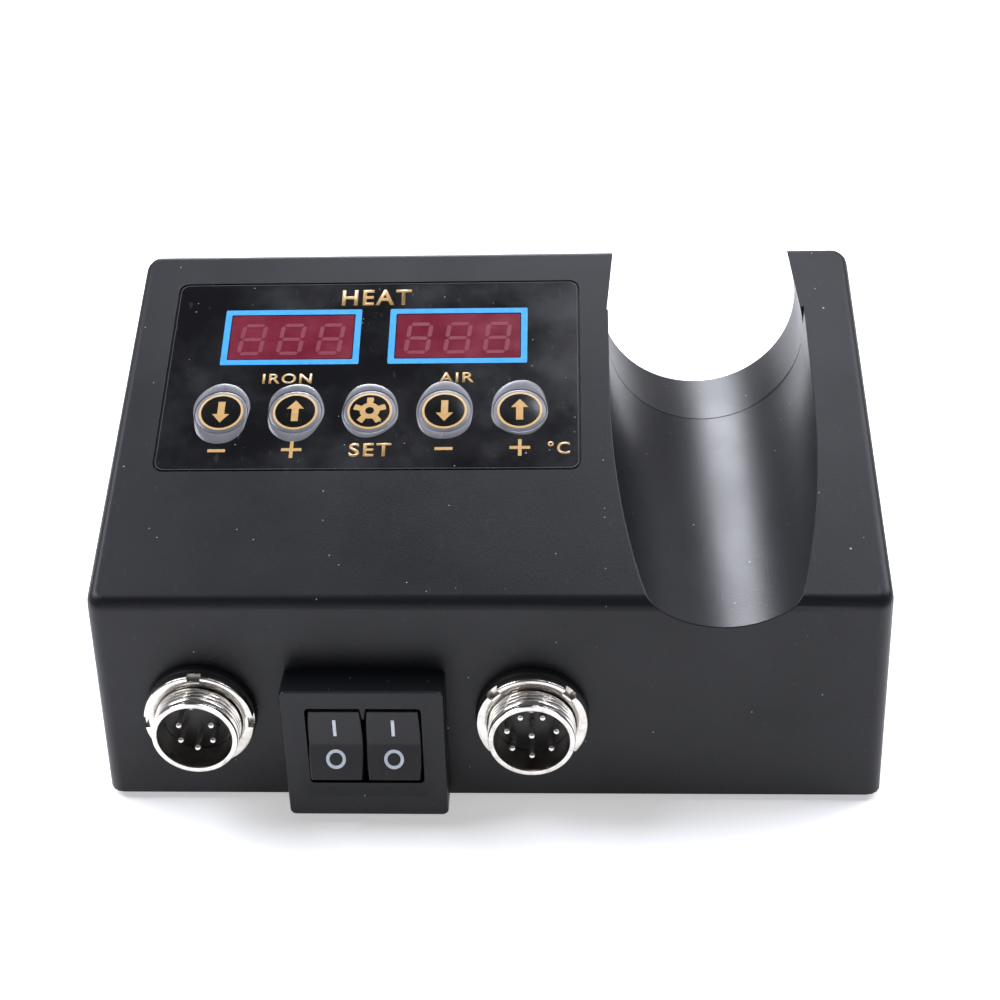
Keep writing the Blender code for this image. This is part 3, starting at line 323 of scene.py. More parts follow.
# ---------------------------------------------------------------- panel film
# The control panel is a glossy polyester film, printed black on its back and stuck into a
# shallow recess in the slope. It has soft smudges and catches dust.

PANEL = CASE @ Matrix.Translation((0.0, BACK_TOP, BACK_HEIGHT)) @ Matrix.Rotation(SLOPE, 4, "X")
FILM_TOP = -0.00005
FILM_X = -0.02315
FILM_MIDDLE = 0.03215
FILM_WIDTH = 0.0805
FILM_LENGTH = 0.0465
FILM_CORNER = 0.0017
FILM_RIM = 0.00013
PRINT_LIFT = 0.00001
PRINT_THICKNESS = 0.00002
FILM_BLACK = (0.0046, 0.0047, 0.0056)
FILM_HAZE = (0.0125, 0.0127, 0.0150)


def glossy_film(name, colour, haze, rough=0.12, dust=0.16, shine=0.5):
    """Printed film: nearly flat, with smudges that dull it and dust on top."""
    made, tree, shader, where = new_finish(name)
    smudge = graded(tree, speckle(tree, where, 55.0, 5.0, 0.6), [(0.42, 0.0), (0.72, 1.0)])
    coarse = dust_specks(tree, where, 300.0, dust, 0.055)
    specks = sum_of(tree, "MAXIMUM", coarse, dust_specks(tree, where, 620.0, dust, 0.060))
    lines = sum_of(tree, "MULTIPLY", hairlines(tree, where, 0.9, 800.0), 0.3)
    body = between(tree, smudge, colour, haze)
    body = between(tree, lines, body, tuple(min(1.0, c * 2.2 + 0.02) for c in haze))
    feed(tree, shader.inputs["Base Color"], between(tree, specks, body, DUST_GREY))
    gloss = sum_of(tree, "MULTIPLY_ADD", smudge, 0.16)
    tree.nodes[-1].inputs[2].default_value = rough
    feed(tree, shader.inputs["Roughness"], gloss)
    shader.inputs["Specular IOR Level"].default_value = shine
    peel = relief(tree, speckle(tree, where, 260.0, 2.0), 0.000012)
    feed(tree, shader.inputs["Normal"], relief(tree, speckle(tree, where, 1800.0, 2.0), 0.000003, peel))
    return made


def add_band(bm, outer, inner):
    """Flat closed band between two outlines with the same number of points."""
    first = [bm.verts.new(p) for p in outer]
    second = [bm.verts.new(p) for p in inner]
    count = len(first)
    for i in range(count):
        j = (i + 1) % count
        bm.faces.new((first[i], first[j], second[j], second[i]))


def box_outline(width, length, radius, x=0.0, y=0.0, steps=6):
    points = []
    for corner, (sx, sy) in enumerate(((1, 1), (-1, 1), (-1, -1), (1, -1))):
        for i in range(steps + 1):
            a = math.pi / 2 * (corner + i / steps)
            px = x + sx * (width / 2 - radius) + radius * math.cos(a)
            py = y + sy * (length / 2 - radius) + radius * math.sin(a)
            points.append(Vector((px, py, 0.0)))
    return points


def thicken(bm, height, thickness, shape=None):
    """Turns a flat print into a thin closed layer that follows the shape under it."""
    for v in bm.verts:
        v.co.z = height + (shape(v.co.x, v.co.y) if shape else 0.0)
    bmesh.ops.recalc_face_normals(bm, faces=bm.faces)
    if sum(f.normal.z * f.calc_area() for f in bm.faces) < 0:
        bmesh.ops.reverse_faces(bm, faces=bm.faces)
    lower = bmesh.ops.duplicate(bm, geom=list(bm.faces) + list(bm.edges) + list(bm.verts))
    pairs = {a: b for a, b in lower["vert_map"].items() if isinstance(a, bmesh.types.BMVert)}
    copies = [f for f in lower["geom"] if isinstance(f, bmesh.types.BMFace)]
    originals = [f for f in bm.faces if f not in set(copies)]
    bmesh.ops.reverse_faces(bm, faces=copies)
    rim = [e for f in originals for e in f.edges if len(e.link_faces) == 1]
    for edge in rim:
        a, b = edge.verts
        bm.faces.new((a, b, pairs[b], pairs[a]))
    for a in pairs:
        if a in set(v for f in originals for v in f.verts):
            a.co.z += thickness
    return bm


film_gloss = glossy_film("film_gloss", FILM_BLACK, FILM_HAZE)
wear("panel_film", film_gloss, 0.00012)
# Painted highlight: a pale grey band just inside the film's edge stands for the light its rounded edge
# catches.
edge_highlight_paint = moulded("film_edge_painted_highlight", (0.040, 0.041, 0.046), (0.062, 0.063, 0.070), 0.35, dust=0.05)
bm = bmesh.new()
outline = [box_outline(FILM_WIDTH - 2 * inset, FILM_LENGTH - 2 * inset, FILM_CORNER, FILM_X, -FILM_MIDDLE)
           for inset in (FILM_RIM, 2 * FILM_RIM)]
add_band(bm, *outline)
thicken(bm, FILM_TOP + PRINT_LIFT, PRINT_THICKNESS)
new_piece("film_edge_highlight_band", bm, edge_highlight_paint, "station", PANEL)


# ---------------------------------------------------------------- displays
# Behind each opening in the film lies a dark red filter. A blue border is printed round
# it, and the unlit segments of a three-digit display show through as paler shapes.

WINDOW_X = {"iron": -0.0397, "air": -0.0066}
WINDOW_FROM_TOP = 0.02285
WINDOW_WIDTH = 0.0249
WINDOW_LENGTH = 0.0116
WINDOW_CORNER = 0.0003
PANE_GAP = 0.0002
PANE_THICKNESS = 0.0004
BORDER = 0.00125
FILTER_RED = (0.170, 0.0115, 0.028)
FILTER_DARK = (0.130, 0.0090, 0.022)
SEGMENT_RED = (0.195, 0.0175, 0.038)
BORDER_BLUE = (0.028, 0.310, 0.740)
DIGIT_HEIGHT = 0.0072
DIGIT_WIDTH = 0.0042
DIGIT_PITCH = 0.0078
DIGIT_STROKE = 0.00085
DIGIT_SLANT = 0.10
DIGIT_DROP = 0.0006
SEGMENT_GAP = 0.00018


def print_ink(name, colour, faded):
    """Screen-printed ink: slightly uneven and a little raised."""
    made, tree, shader, where = new_finish(name)
    uneven = graded(tree, speckle(tree, where, 900.0, 4.0, 0.65), [(0.35, 0.0), (0.75, 1.0)])
    specks = dust_specks(tree, where, 260.0, 0.12, 0.045)
    body = between(tree, uneven, colour, faded)
    feed(tree, shader.inputs["Base Color"], between(tree, specks, body, (0.6, 0.6, 0.6)))
    gloss = sum_of(tree, "MULTIPLY_ADD", uneven, 0.12)
    tree.nodes[-1].inputs[2].default_value = 0.30
    feed(tree, shader.inputs["Roughness"], gloss)
    feed(tree, shader.inputs["Normal"], relief(tree, speckle(tree, where, 3000.0, 2.0), 0.000004))
    return made


def red_filter(name):
    """Tinted pane with the haze of the display's cells behind it."""
    made, tree, shader, where = new_finish(name)
    cloud = graded(tree, speckle(tree, where, 160.0, 4.0, 0.6), [(0.35, 0.0), (0.70, 1.0)])
    specks = dust_specks(tree, where, 420.0, 0.20, 0.05)
    body = between(tree, cloud, FILTER_DARK, FILTER_RED)
    feed(tree, shader.inputs["Base Color"], between(tree, specks, body, (0.50, 0.30, 0.33)))
    gloss = sum_of(tree, "MULTIPLY_ADD", cloud, 0.10)
    tree.nodes[-1].inputs[2].default_value = 0.16
    feed(tree, shader.inputs["Roughness"], gloss)
    feed(tree, shader.inputs["Normal"], relief(tree, speckle(tree, where, 240.0, 2.0), 0.000010))
    return made


filter_look = red_filter("filter_red")
segment_look = print_ink("segment_red", SEGMENT_RED, FILTER_RED)
border_look = print_ink("border_blue", BORDER_BLUE, (0.040, 0.345, 0.780))


def add_polygon(bm, points):
    bm.faces.new([bm.verts.new((x, y, 0.0)) for x, y in points])


def add_segment(bm, x0, y0, x1, y1):
    """One pointed bar of a seven-segment digit, between two points."""
    half = DIGIT_STROKE / 2
    along = Vector((x1 - x0, y1 - y0)).normalized()
    side = Vector((-along.y, along.x))
    a = Vector((x0, y0)) + along * SEGMENT_GAP
    b = Vector((x1, y1)) - along * SEGMENT_GAP
    points = [a, a + along * half + side * half, b - along * half + side * half, b,
              b - along * half - side * half, a + along * half - side * half]
    add_polygon(bm, [(p.x + p.y * DIGIT_SLANT, p.y) for p in points])


def add_digit(bm, x):
    w = DIGIT_WIDTH / 2
    h = DIGIT_HEIGHT / 2
    start = len(bm.verts)
    for y in (-h, 0.0, h):
        add_segment(bm, -w, y, w, y)
    for side in (-w, w):
        add_segment(bm, side, -h, side, 0.0)
        add_segment(bm, side, 0.0, side, h)
    bm.verts.ensure_lookup_table()
    for v in bm.verts[start:]:
        v.co.x += x


def window_outline(x, margin):
    """Outline of a display's opening, grown by the margin on every side."""
    width = WINDOW_WIDTH + 2 * margin
    return box_outline(width, WINDOW_LENGTH + 2 * margin, WINDOW_CORNER, x, -WINDOW_FROM_TOP)


for kind, x in WINDOW_X.items():
    bm = bmesh.new()
    bm.faces.new([bm.verts.new(p) for p in window_outline(x, -PANE_GAP)])
    thicken(bm, FILM_TOP - PANE_THICKNESS, PANE_THICKNESS)
    filter_pane = new_piece("filter_pane_" + kind, bm, filter_look, "station", PANEL)
    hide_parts("window_" + kind)

    bm = bmesh.new()
    add_band(bm, window_outline(x, BORDER), window_outline(x, 0.0))
    thicken(bm, FILM_TOP + PRINT_LIFT, PRINT_THICKNESS)
    new_piece("display_border_" + kind, bm, border_look, "station", PANEL)

    bm = bmesh.new()
    for i in range(3):
        add_digit(bm, (i - 1) * DIGIT_PITCH)
    bmesh.ops.translate(bm, verts=bm.verts, vec=(x, -WINDOW_FROM_TOP - DIGIT_DROP, 0.0))
    thicken(bm, FILM_TOP + PRINT_LIFT, PRINT_THICKNESS)
    new_piece("unlit_digits_" + kind, bm, segment_look, "station", PANEL)


# ---------------------------------------------------------------- legends
# Plain gold words and signs are screen-printed on the film: what each half sets, which
# handle it belongs to, and the signs under the keys.

GOLD = (0.560, 0.345, 0.120)
GOLD_THIN = (0.430, 0.255, 0.085)
gold_ink = print_ink("gold_ink", GOLD, GOLD_THIN)
SIGN_STROKE = 0.00068
LETTER_SPACING = 1.18


def lettering(words, width, height, weight):
    """Flat letters fitted to a width and height round the origin."""
    curve = bpy.data.curves.new("lettering", "FONT")
    curve.body = words
    curve.resolution_u = 5
    curve.offset = weight
    curve.space_character = LETTER_SPACING
    shape = bpy.data.objects.new("lettering", curve)
    bpy.context.scene.collection.objects.link(shape)
    bpy.context.view_layer.update()
    graph = bpy.context.evaluated_depsgraph_get()
    mesh = bpy.data.meshes.new_from_object(shape.evaluated_get(graph))
    bpy.data.objects.remove(shape)
    bm = bmesh.new()
    bm.from_mesh(mesh)
    bmesh.ops.remove_doubles(bm, verts=bm.verts, dist=1e-5)
    xs = [v.co.x for v in bm.verts]
    ys = [v.co.y for v in bm.verts]
    for v in bm.verts:
        v.co.x = (v.co.x - (min(xs) + max(xs)) / 2) / (max(xs) - min(xs)) * width
        v.co.y = (v.co.y - (min(ys) + max(ys)) / 2) / (max(ys) - min(ys)) * height
    return bm


def add_minus(bm, x, v, size):
    add_polygon(bm, [(x - size / 2, -v - SIGN_STROKE / 2), (x + size / 2, -v - SIGN_STROKE / 2),
                     (x + size / 2, -v + SIGN_STROKE / 2), (x - size / 2, -v + SIGN_STROKE / 2)])


def add_plus(bm, x, v, size):
    s = SIGN_STROKE / 2
    a = size / 2
    points = [(s, a), (s, s), (a, s), (a, -s), (s, -s), (s, -a),
              (-s, -a), (-s, -s), (-a, -s), (-a, s), (-s, s), (-s, a)]
    add_polygon(bm, [(x + px, py - v) for px, py in points])


WORDS = (("mark_heat", "HEAT", -0.02327, 0.0127, 0.0140, 0.0041, 0.022),
         ("mark_iron", "IRON", -0.0397, 0.03345, 0.0097, 0.0025, 0.018),
         ("mark_air", "AIR", -0.0066, 0.03345, 0.0068, 0.0025, 0.018),
         ("mark_set", "SET", -0.0225, 0.05085, 0.0080, 0.0032, 0.020),
         ("mark_degrees", "°C", 0.0132, 0.0506, 0.0042, 0.0030, 0.018))
for name, words, x, v, width, height, weight in WORDS:
    bm = lettering(words, width, height, weight)
    bmesh.ops.translate(bm, verts=bm.verts, vec=(x, -v, 0.0))
    thicken(bm, FILM_TOP + PRINT_LIFT, PRINT_THICKNESS)
    new_piece(name, bm, gold_ink, "station", PANEL)

bm = bmesh.new()
add_minus(bm, -0.05184, 0.05085, 0.0034)
add_minus(bm, -0.00855, 0.05065, 0.0034)
add_plus(bm, -0.0375, 0.0507, 0.0039)
add_plus(bm, 0.00585, 0.0505, 0.0039)
thicken(bm, FILM_TOP + PRINT_LIFT, PRINT_THICKNESS)
new_piece("mark_signs", bm, gold_ink, "station", PANEL)


# ---------------------------------------------------------------- keys
# Each key is a domed disc of the film with a gold ring and a sign, over a switch. Around
# it the film is lifted into a hazy blister of clear lacquer with an uneven outline.

KEY_FIRST_X = -0.05184
KEY_PITCH = 0.0144
KEY_FROM_TOP = 0.04173
KEY_RADIUS = 0.0051
KEY_DOME = 0.00035
KEY_STEM_RADIUS = 0.0015
KEY_STEM_END = -0.0047
KEY_STEPS = 72
DISC_STEPS = 48
DISC_LIFT = 0.000008
DISC_THICKNESS = 0.00001
KEY_PRINT_LIFT = 0.000022
ARROW_TIP = 0.0026
ARROW_NECK = 0.0006
ARROW_TAIL = 0.0024
ARROW_HEAD_HALF = 0.00165
ARROW_SHAFT_HALF = 0.00068
COG_TEETH = 5
COG_STEPS = 60
COG_ROOT = 0.00192
COG_TOOTH = 0.00128
COG_TOOTH_HALF = 0.23
COG_BORE = 0.00085
DISC_RADIUS = 0.0039
RING_OUTER = 0.00434
RING_INNER = 0.00388
BLISTER_INNER = 0.00518
BLISTER_SIDE = 0.00545
BLISTER_LEAST = 0.00012
BLISTER_HEIGHT = 0.00018
BLISTER_STEPS = 96
BLISTER_PROFILE = ((0.0, -0.3), (0.0, 0.75), (0.25, 1.0), (0.6, 0.8), (0.88, 0.35), (1.0, 0.0), (1.0, -0.3))
BLISTER_LENGTHS = ((0.0072, 0.0074), (0.0070, 0.0070), (0.0068, 0.0062), (0.0072, 0.0068), (0.0074, 0.0058))
KEY_BLACK = (0.0050, 0.0050, 0.0052)
KEY_HAZE = (0.0085, 0.0085, 0.0090)
BLISTER_GREY = (0.130, 0.132, 0.144)
BLISTER_PALE = (0.200, 0.202, 0.216)

key_gloss = glossy_film("key_gloss", KEY_BLACK, KEY_HAZE, rough=0.10, dust=0.10, shine=0.55)
lacquer = glossy_film("clear_lacquer", BLISTER_GREY, BLISTER_PALE, rough=0.24, dust=0.10, shine=0.55)
ring_gold = print_ink("ring_gold", (0.640, 0.430, 0.190), (0.520, 0.330, 0.125))


def turned(bm, profile, steps, closed=True):
    """Turns (radius, height) points round z. A closed profile makes a ring, an open one a solid."""
    rows = []
    for r, z in profile:
        angles = [2 * math.pi * i / steps for i in range(steps)]
        rows.append([bm.verts.new((r * math.cos(a), r * math.sin(a), z)) for a in angles])
    pairs = list(zip(rows, rows[1:])) + ([(rows[-1], rows[0])] if closed else [])
    for lower, upper in pairs:
        for i in range(steps):
            j = (i + 1) % steps
            bm.faces.new((lower[i], lower[j], upper[j], upper[i]))
    if not closed:
        bm.faces.new(rows[0][::-1])
        bm.faces.new(rows[-1])


def unit_circle(steps):
    angles = [2 * math.pi * k / steps for k in range(steps)]
    return [Vector((math.cos(a), math.sin(a), 0.0)) for a in angles]


def dome_height(x, y):
    """Height of the domed key over the film."""
    share = min(1.0, (x * x + y * y) / KEY_RADIUS ** 2)
    return KEY_DOME * math.sqrt(1.0 - share)


def arrow(bm, way):
    """Arrow that points up or down the panel."""
    right_half = [(0.0, ARROW_TIP), (ARROW_HEAD_HALF, ARROW_NECK), (ARROW_SHAFT_HALF, ARROW_NECK),
                  (ARROW_SHAFT_HALF, -ARROW_TAIL)]
    points = right_half + [(-x, y) for x, y in right_half[:0:-1]]
    add_polygon(bm, [(x, y * way) for x, y in points])


def cog(bm):
    """Cog with five broad teeth and a round hole."""
    outer = []
    inner = []
    for i in range(COG_STEPS):
        a = 2 * math.pi * i / COG_STEPS + math.pi / 2
        phase = (COG_TEETH * (a - math.pi / 2) / (2 * math.pi)) % 1.0
        tooth = 1.0 if abs(phase - 0.5) > 0.5 - COG_TOOTH_HALF else 0.0
        r = COG_ROOT + COG_TOOTH * tooth
        outer.append(Vector((r * math.cos(a), r * math.sin(a), 0.0)))
        inner.append(Vector((COG_BORE * math.cos(a), COG_BORE * math.sin(a), 0.0)))
    add_band(bm, outer, inner)


def blister_reach(a, i):
    """How far the uneven blister round key i reaches from the key's centre."""
    wobble = 0.00012 * math.sin(3 * a + i) + 0.00008 * math.sin(5 * a + 2 * i)
    above, below = BLISTER_LENGTHS[i]
    sine = abs(math.sin(a)) ** 2.2
    reach = BLISTER_SIDE * (1 - sine) + (above if math.sin(a) > 0 else below) * sine + wobble
    return max(reach, BLISTER_INNER + BLISTER_LEAST)


def fine_cut(bm):
    """Cuts a flat print finely enough to follow a dome."""
    bmesh.ops.triangulate(bm, faces=bm.faces)
    bmesh.ops.subdivide_edges(bm, edges=bm.edges, cuts=2, use_grid_fill=True)
    bmesh.ops.triangulate(bm, faces=bm.faces)


KEY_SIGNS = ("down", "up", "cog", "down", "up")
for i, sign in enumerate(KEY_SIGNS):
    number = "%d" % (i + 1)
    body = "key_" + number
    key_place = PANEL @ Matrix.Translation((KEY_FIRST_X + i * KEY_PITCH, -KEY_FROM_TOP, FILM_TOP))

    bm = bmesh.new()
    profile = [(KEY_STEM_RADIUS, KEY_STEM_END - FILM_TOP), (KEY_STEM_RADIUS, -PANE_THICKNESS),
               (KEY_RADIUS, -PANE_THICKNESS)]
    for part in range(12):
        a = math.pi / 2 * part / 12
        profile.append((KEY_RADIUS * math.cos(a), KEY_DOME * math.sin(a)))
    turned(bm, profile, KEY_STEPS, closed=False)
    cap = new_piece("key_cap_" + number, bm, lacquer, body, key_place, math.radians(40.0))
    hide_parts("key_" + number)

    bm = bmesh.new()
    disc = [p * DISC_RADIUS for p in unit_circle(DISC_STEPS)]
    rings = [[bm.verts.new(p * share) for p in disc] for share in (1.0, 0.8, 0.6, 0.4, 0.2)]
    for outer, inner in zip(rings, rings[1:]):
        for k in range(DISC_STEPS):
            j = (k + 1) % DISC_STEPS
            bm.faces.new((outer[k], outer[j], inner[j], inner[k]))
    bm.faces.new(rings[-1])
    thicken(bm, DISC_LIFT, DISC_THICKNESS, dome_height)
    new_piece("key_disc_" + number, bm, key_gloss, body, key_place, math.radians(40.0))

    bm = bmesh.new()
    add_band(bm, *[[p * r for p in unit_circle(KEY_STEPS)] for r in (RING_OUTER, RING_INNER)])
    thicken(bm, KEY_PRINT_LIFT, PRINT_THICKNESS, dome_height)
    new_piece("key_ring_" + number, bm, ring_gold, body, key_place, math.radians(40.0))

    bm = bmesh.new()
    if sign == "cog":
        cog(bm)
    else:
        arrow(bm, 1.0 if sign == "up" else -1.0)
    fine_cut(bm)
    thicken(bm, KEY_PRINT_LIFT, PRINT_THICKNESS, dome_height)
    new_piece("key_sign_" + number, bm, gold_ink, body, key_place)

    bm = bmesh.new()
    rows = []
    for share, height in BLISTER_PROFILE:
        row = []
        for k in range(BLISTER_STEPS):
            a = 2 * math.pi * k / BLISTER_STEPS
            r = BLISTER_INNER + (blister_reach(a, i) - BLISTER_INNER) * share
            row.append(bm.verts.new((r * math.cos(a), r * math.sin(a), BLISTER_HEIGHT * height)))
        rows.append(row)
    for lower, upper in zip(rows, rows[1:] + rows[:1]):
        for k in range(BLISTER_STEPS):
            j = (k + 1) % BLISTER_STEPS
            bm.faces.new((lower[k], lower[j], upper[j], upper[k]))
    new_piece("key_blister_" + number, bm, lacquer, "station", key_place, math.radians(50.0))


# ---------------------------------------------------------------- control board
# A green glass-fibre board hangs under the panel on two screws. It carries the display
# blocks and the small push switches under the keys.

BOARD_GREEN = (0.012, 0.105, 0.040)
TRACK_GREEN = (0.022, 0.170, 0.070)


def board_finish(name, colour, track):
    """Solder mask over copper tracks."""
    made, tree, shader, where = new_finish(name)
    cells = tree.nodes.new("ShaderNodeTexVoronoi")
    cells.distance = "MANHATTAN"
    cells.feature = "F1"
    cells.inputs["Scale"].default_value = 320.0
    feed(tree, cells.inputs["Vector"], where)
    lines = graded(tree, cells.outputs["Distance"], [(0.30, 1.0), (0.36, 0.0)])
    weave = speckle(tree, where, 1500.0, 3.0)
    feed(tree, shader.inputs["Base Color"], between(tree, lines, colour, track))
    gloss = sum_of(tree, "MULTIPLY_ADD", weave, 0.20)
    tree.nodes[-1].inputs[2].default_value = 0.28
    feed(tree, shader.inputs["Roughness"], gloss)
    low = relief(tree, lines, 0.00003)
    feed(tree, shader.inputs["Normal"], relief(tree, weave, 0.000008, low))
    return made


wear("control_board", board_finish("board_green", BOARD_GREEN, TRACK_GREEN), 0.0002)
display_block = moulded("display_block", (0.055, 0.055, 0.060), (0.075, 0.075, 0.080), 0.45, dust=0.02)
switch_body = moulded("push_switch_black", (0.012, 0.012, 0.012), (0.020, 0.020, 0.020), 0.45, dust=0.02)
for kind in WINDOW_X:
    wear("display_" + kind, display_block, 0.0003)
for i in range(5):
    wear("tact_switch_%d" % (i + 1), switch_body, 0.0003)


# ---------------------------------------------------------------- sockets
# Each handle plugs into a round aviation socket: a nickel-plated zinc barrel with an M16
# thread, a black insulator with silvered pins, a black spacer and a slotted ring nut.

SOCKET_X = {"iron": -0.0533, "air": 0.00805}
SOCKET_Z = {"iron": 0.0200, "air": 0.0195}
SOCKET_STEPS = 144
BARREL_RADIUS = 0.0080
BARREL_BORE = 0.0069
THREAD_DEPTH = 0.00042
THREAD_PITCH = 0.00092
THREAD_START = 0.0037
THREAD_END = 0.0077
THREAD_SAMPLES = 56
SOCKET_RIM = 0.0085
SOCKET_BACK = -0.0125
FLANGE_RADIUS = 0.0098
FLANGE_FRONT = -0.0027
FLANGE_BACK = -0.0042
INSERT_FACE = 0.0026
PIN_RADIUS = 0.00065
PIN_FRONT = 0.0073
PIN_BACK = -0.0085
COLLAR_RADIUS = 0.0104
COLLAR_THICKNESS = 0.0020
COLLAR_CLEARANCE = 0.0003
COLLAR_GAP = 0.00005
NUT_RADIUS = 0.0102
NUT_THICKNESS = 0.0017
NUT_SLOT_HALF = 0.00125
NUT_SLOT_DEPTH = 0.0009
NUT_SLOT_LENGTH = 0.0013
NUT_TURN = {"iron": 0.0, "air": math.radians(45.0)}
PIN_RINGS = {"iron": (0.00345, (-90, -30, 30, 150, 210), False),
             "air": (0.0046, (-90, -39, 13, 64, 116, 167, 219), True)}
NICKEL = (0.740, 0.712, 0.665)
NICKEL_DULL = (0.470, 0.440, 0.395)


def on_front(x, z):
    """Frame on the front wall: x across, y up the wall, z out of it."""
    place = Matrix.Translation((x, z * math.tan(DRAFT), z))
    return CASE @ place @ Matrix.Rotation(math.pi / 2 - DRAFT, 4, "X")


def plated(name, colour, dull, rough, place, lines=5000.0):
    """Plated zinc with faint turning marks and duller, slightly brown patches."""
    made, tree, shader, where = new_finish(name)
    patches = graded(tree, speckle(tree, where, 420.0, 4.0, 0.6), [(0.42, 0.0), (0.74, 1.0)])
    pits = graded(tree, speckle(tree, where, 2600.0, 3.0), [(0.60, 0.0), (0.72, 1.0)])
    body = between(tree, patches, colour, dull)
    body = between(tree, sum_of(tree, "MULTIPLY", pits, 0.25), body, (0.20, 0.17, 0.13))
    feed(tree, shader.inputs["Base Color"], body)
    shader.inputs["Metallic"].default_value = 1.0
    gloss = sum_of(tree, "MULTIPLY_ADD", patches, 0.14)
    tree.nodes[-1].inputs[2].default_value = rough
    feed(tree, shader.inputs["Roughness"], gloss)
    rings = stretched(tree, where, (lines * 0.02, lines, lines * 0.02), place)
    turning = relief(tree, speckle(tree, rings, 1.0, 2.0), 0.000004)
    feed(tree, shader.inputs["Normal"], relief(tree, pits, 0.000006, turning))
    return made


nickel = plated("nickel_plate", NICKEL, NICKEL_DULL, 0.15, (0.0, 0.0, 0.0))
silver = plated("silvered_pin", (0.86, 0.85, 0.82), (0.62, 0.60, 0.55), 0.16, (0.0, 0.0, 0.0))
insulator = moulded("insulator_black", (0.0060, 0.0052, 0.0048), (0.0110, 0.0085, 0.0075), 0.34, shine=0.4,
                    grain=3500.0, dust=0.06)
spacer_black = moulded("spacer_black", (0.0060, 0.0060, 0.0065), (0.0105, 0.0105, 0.0110), 0.46, shine=0.25,
                       dust=0.10)


def round_angles(steps, cuts=()):
    """Even angles round a circle, with a close pair at every sharp cut."""
    hair = math.radians(0.05)
    found = {2 * math.pi * i / steps for i in range(steps)}
    for cut in cuts:
        found |= {(cut - hair) % (2 * math.pi), (cut + hair) % (2 * math.pi)}
    return sorted(found)


def turned_by(bm, profile_at, angles):
    """Ring whose closed profile of (radius, height) points changes with the angle."""
    rows = [[bm.verts.new((r * math.cos(a), r * math.sin(a), z)) for r, z in profile_at(a)] for a in angles]
    for one, two in zip(rows, rows[1:] + rows[:1]):
        count = len(one)
        for i in range(count):
            j = (i + 1) % count
            bm.faces.new((one[i], two[i], two[j], one[j]))


def in_slot(angle, centres, half, radius):
    """True where the angle lies inside one of the slots."""
    for centre in centres:
        off = (angle - centre + math.pi) % (2 * math.pi) - math.pi
        if abs(off) < math.asin(half / radius):
            return True
    return False


def slot_cuts(centres, half, radius):
    reach = math.asin(half / radius)
    return [c + side * reach for c in centres for side in (-1, 1)]


def barrel_at(angle):
    """Section of the barrel: helical thread, a rounded rim and the nib that keys the plug."""
    root = BARREL_RADIUS - THREAD_DEPTH
    points = [(BARREL_BORE, SOCKET_BACK), (root, SOCKET_BACK), (root, FLANGE_BACK),
              (FLANGE_RADIUS, FLANGE_BACK), (FLANGE_RADIUS, FLANGE_FRONT), (root, FLANGE_FRONT),
              (root, 0.0)]
    for i in range(THREAD_SAMPLES + 1):
        z = THREAD_START + (THREAD_END - THREAD_START) * i / THREAD_SAMPLES
        turn = (z / THREAD_PITCH - angle / (2 * math.pi)) % 1.0
        ridge = max(0.0, min(1.0, 1.35 - abs(turn - 0.5) * 4.0 + 0.35))
        fade = min(1.0, (THREAD_END - z) / (THREAD_PITCH * 0.8))
        r = root + THREAD_DEPTH * (ridge * fade)
        points.append((r, z))
    rim = BARREL_RADIUS - 0.0001
    points += [(root, THREAD_END + 0.00005), (rim, THREAD_END + 0.00022),
               (rim, SOCKET_RIM - 0.00025), (rim - 0.00008, SOCKET_RIM - 0.00008),
               (rim - 0.00025, SOCKET_RIM), (BARREL_BORE + 0.00022, SOCKET_RIM),
               (BARREL_BORE + 0.00006, SOCKET_RIM - 0.00007), (BARREL_BORE, SOCKET_RIM - 0.00025)]
    nib = max(0.0, 1.0 - (abs((angle - math.pi / 2 + math.pi) % (2 * math.pi) - math.pi) / 0.12) ** 2)
    inner = BARREL_BORE - 0.0008 * math.sqrt(nib)
    points += [(inner, SOCKET_RIM - 0.0006), (inner, INSERT_FACE + 0.0002),
               (BARREL_BORE, INSERT_FACE + 0.00015)]
    return points


def nut_at(kind):
    centres = [NUT_TURN[kind] + math.pi / 2 * k for k in range(4)]
    base = COLLAR_THICKNESS + 0.00005
    top = base + NUT_THICKNESS
    inner = BARREL_RADIUS + 0.00005

    def section(angle):
        outer = NUT_RADIUS - (NUT_SLOT_DEPTH if in_slot(angle, centres, NUT_SLOT_HALF, NUT_RADIUS) else 0.0)
        step = top - NUT_SLOT_LENGTH
        return [(inner, base), (NUT_RADIUS - 0.0001, base), (NUT_RADIUS, base + 0.0001),
                (NUT_RADIUS, step - 0.00005), (outer, step), (outer, top - 0.00028),
                (outer - 0.0001, top - 0.0001), (outer - 0.00028, top), (inner + 0.00035, top),
                (inner + 0.0001, top - 0.0001), (inner, top - 0.00035)]
    return section, slot_cuts(centres, NUT_SLOT_HALF, NUT_RADIUS)


def pin_spots(kind):
    radius, degrees, middle = PIN_RINGS[kind]
    spots = []
    for a in map(math.radians, degrees):
        spots.append((radius * math.cos(a), radius * math.sin(a)))
    return spots + ([(0.0, 0.0)] if middle else [])


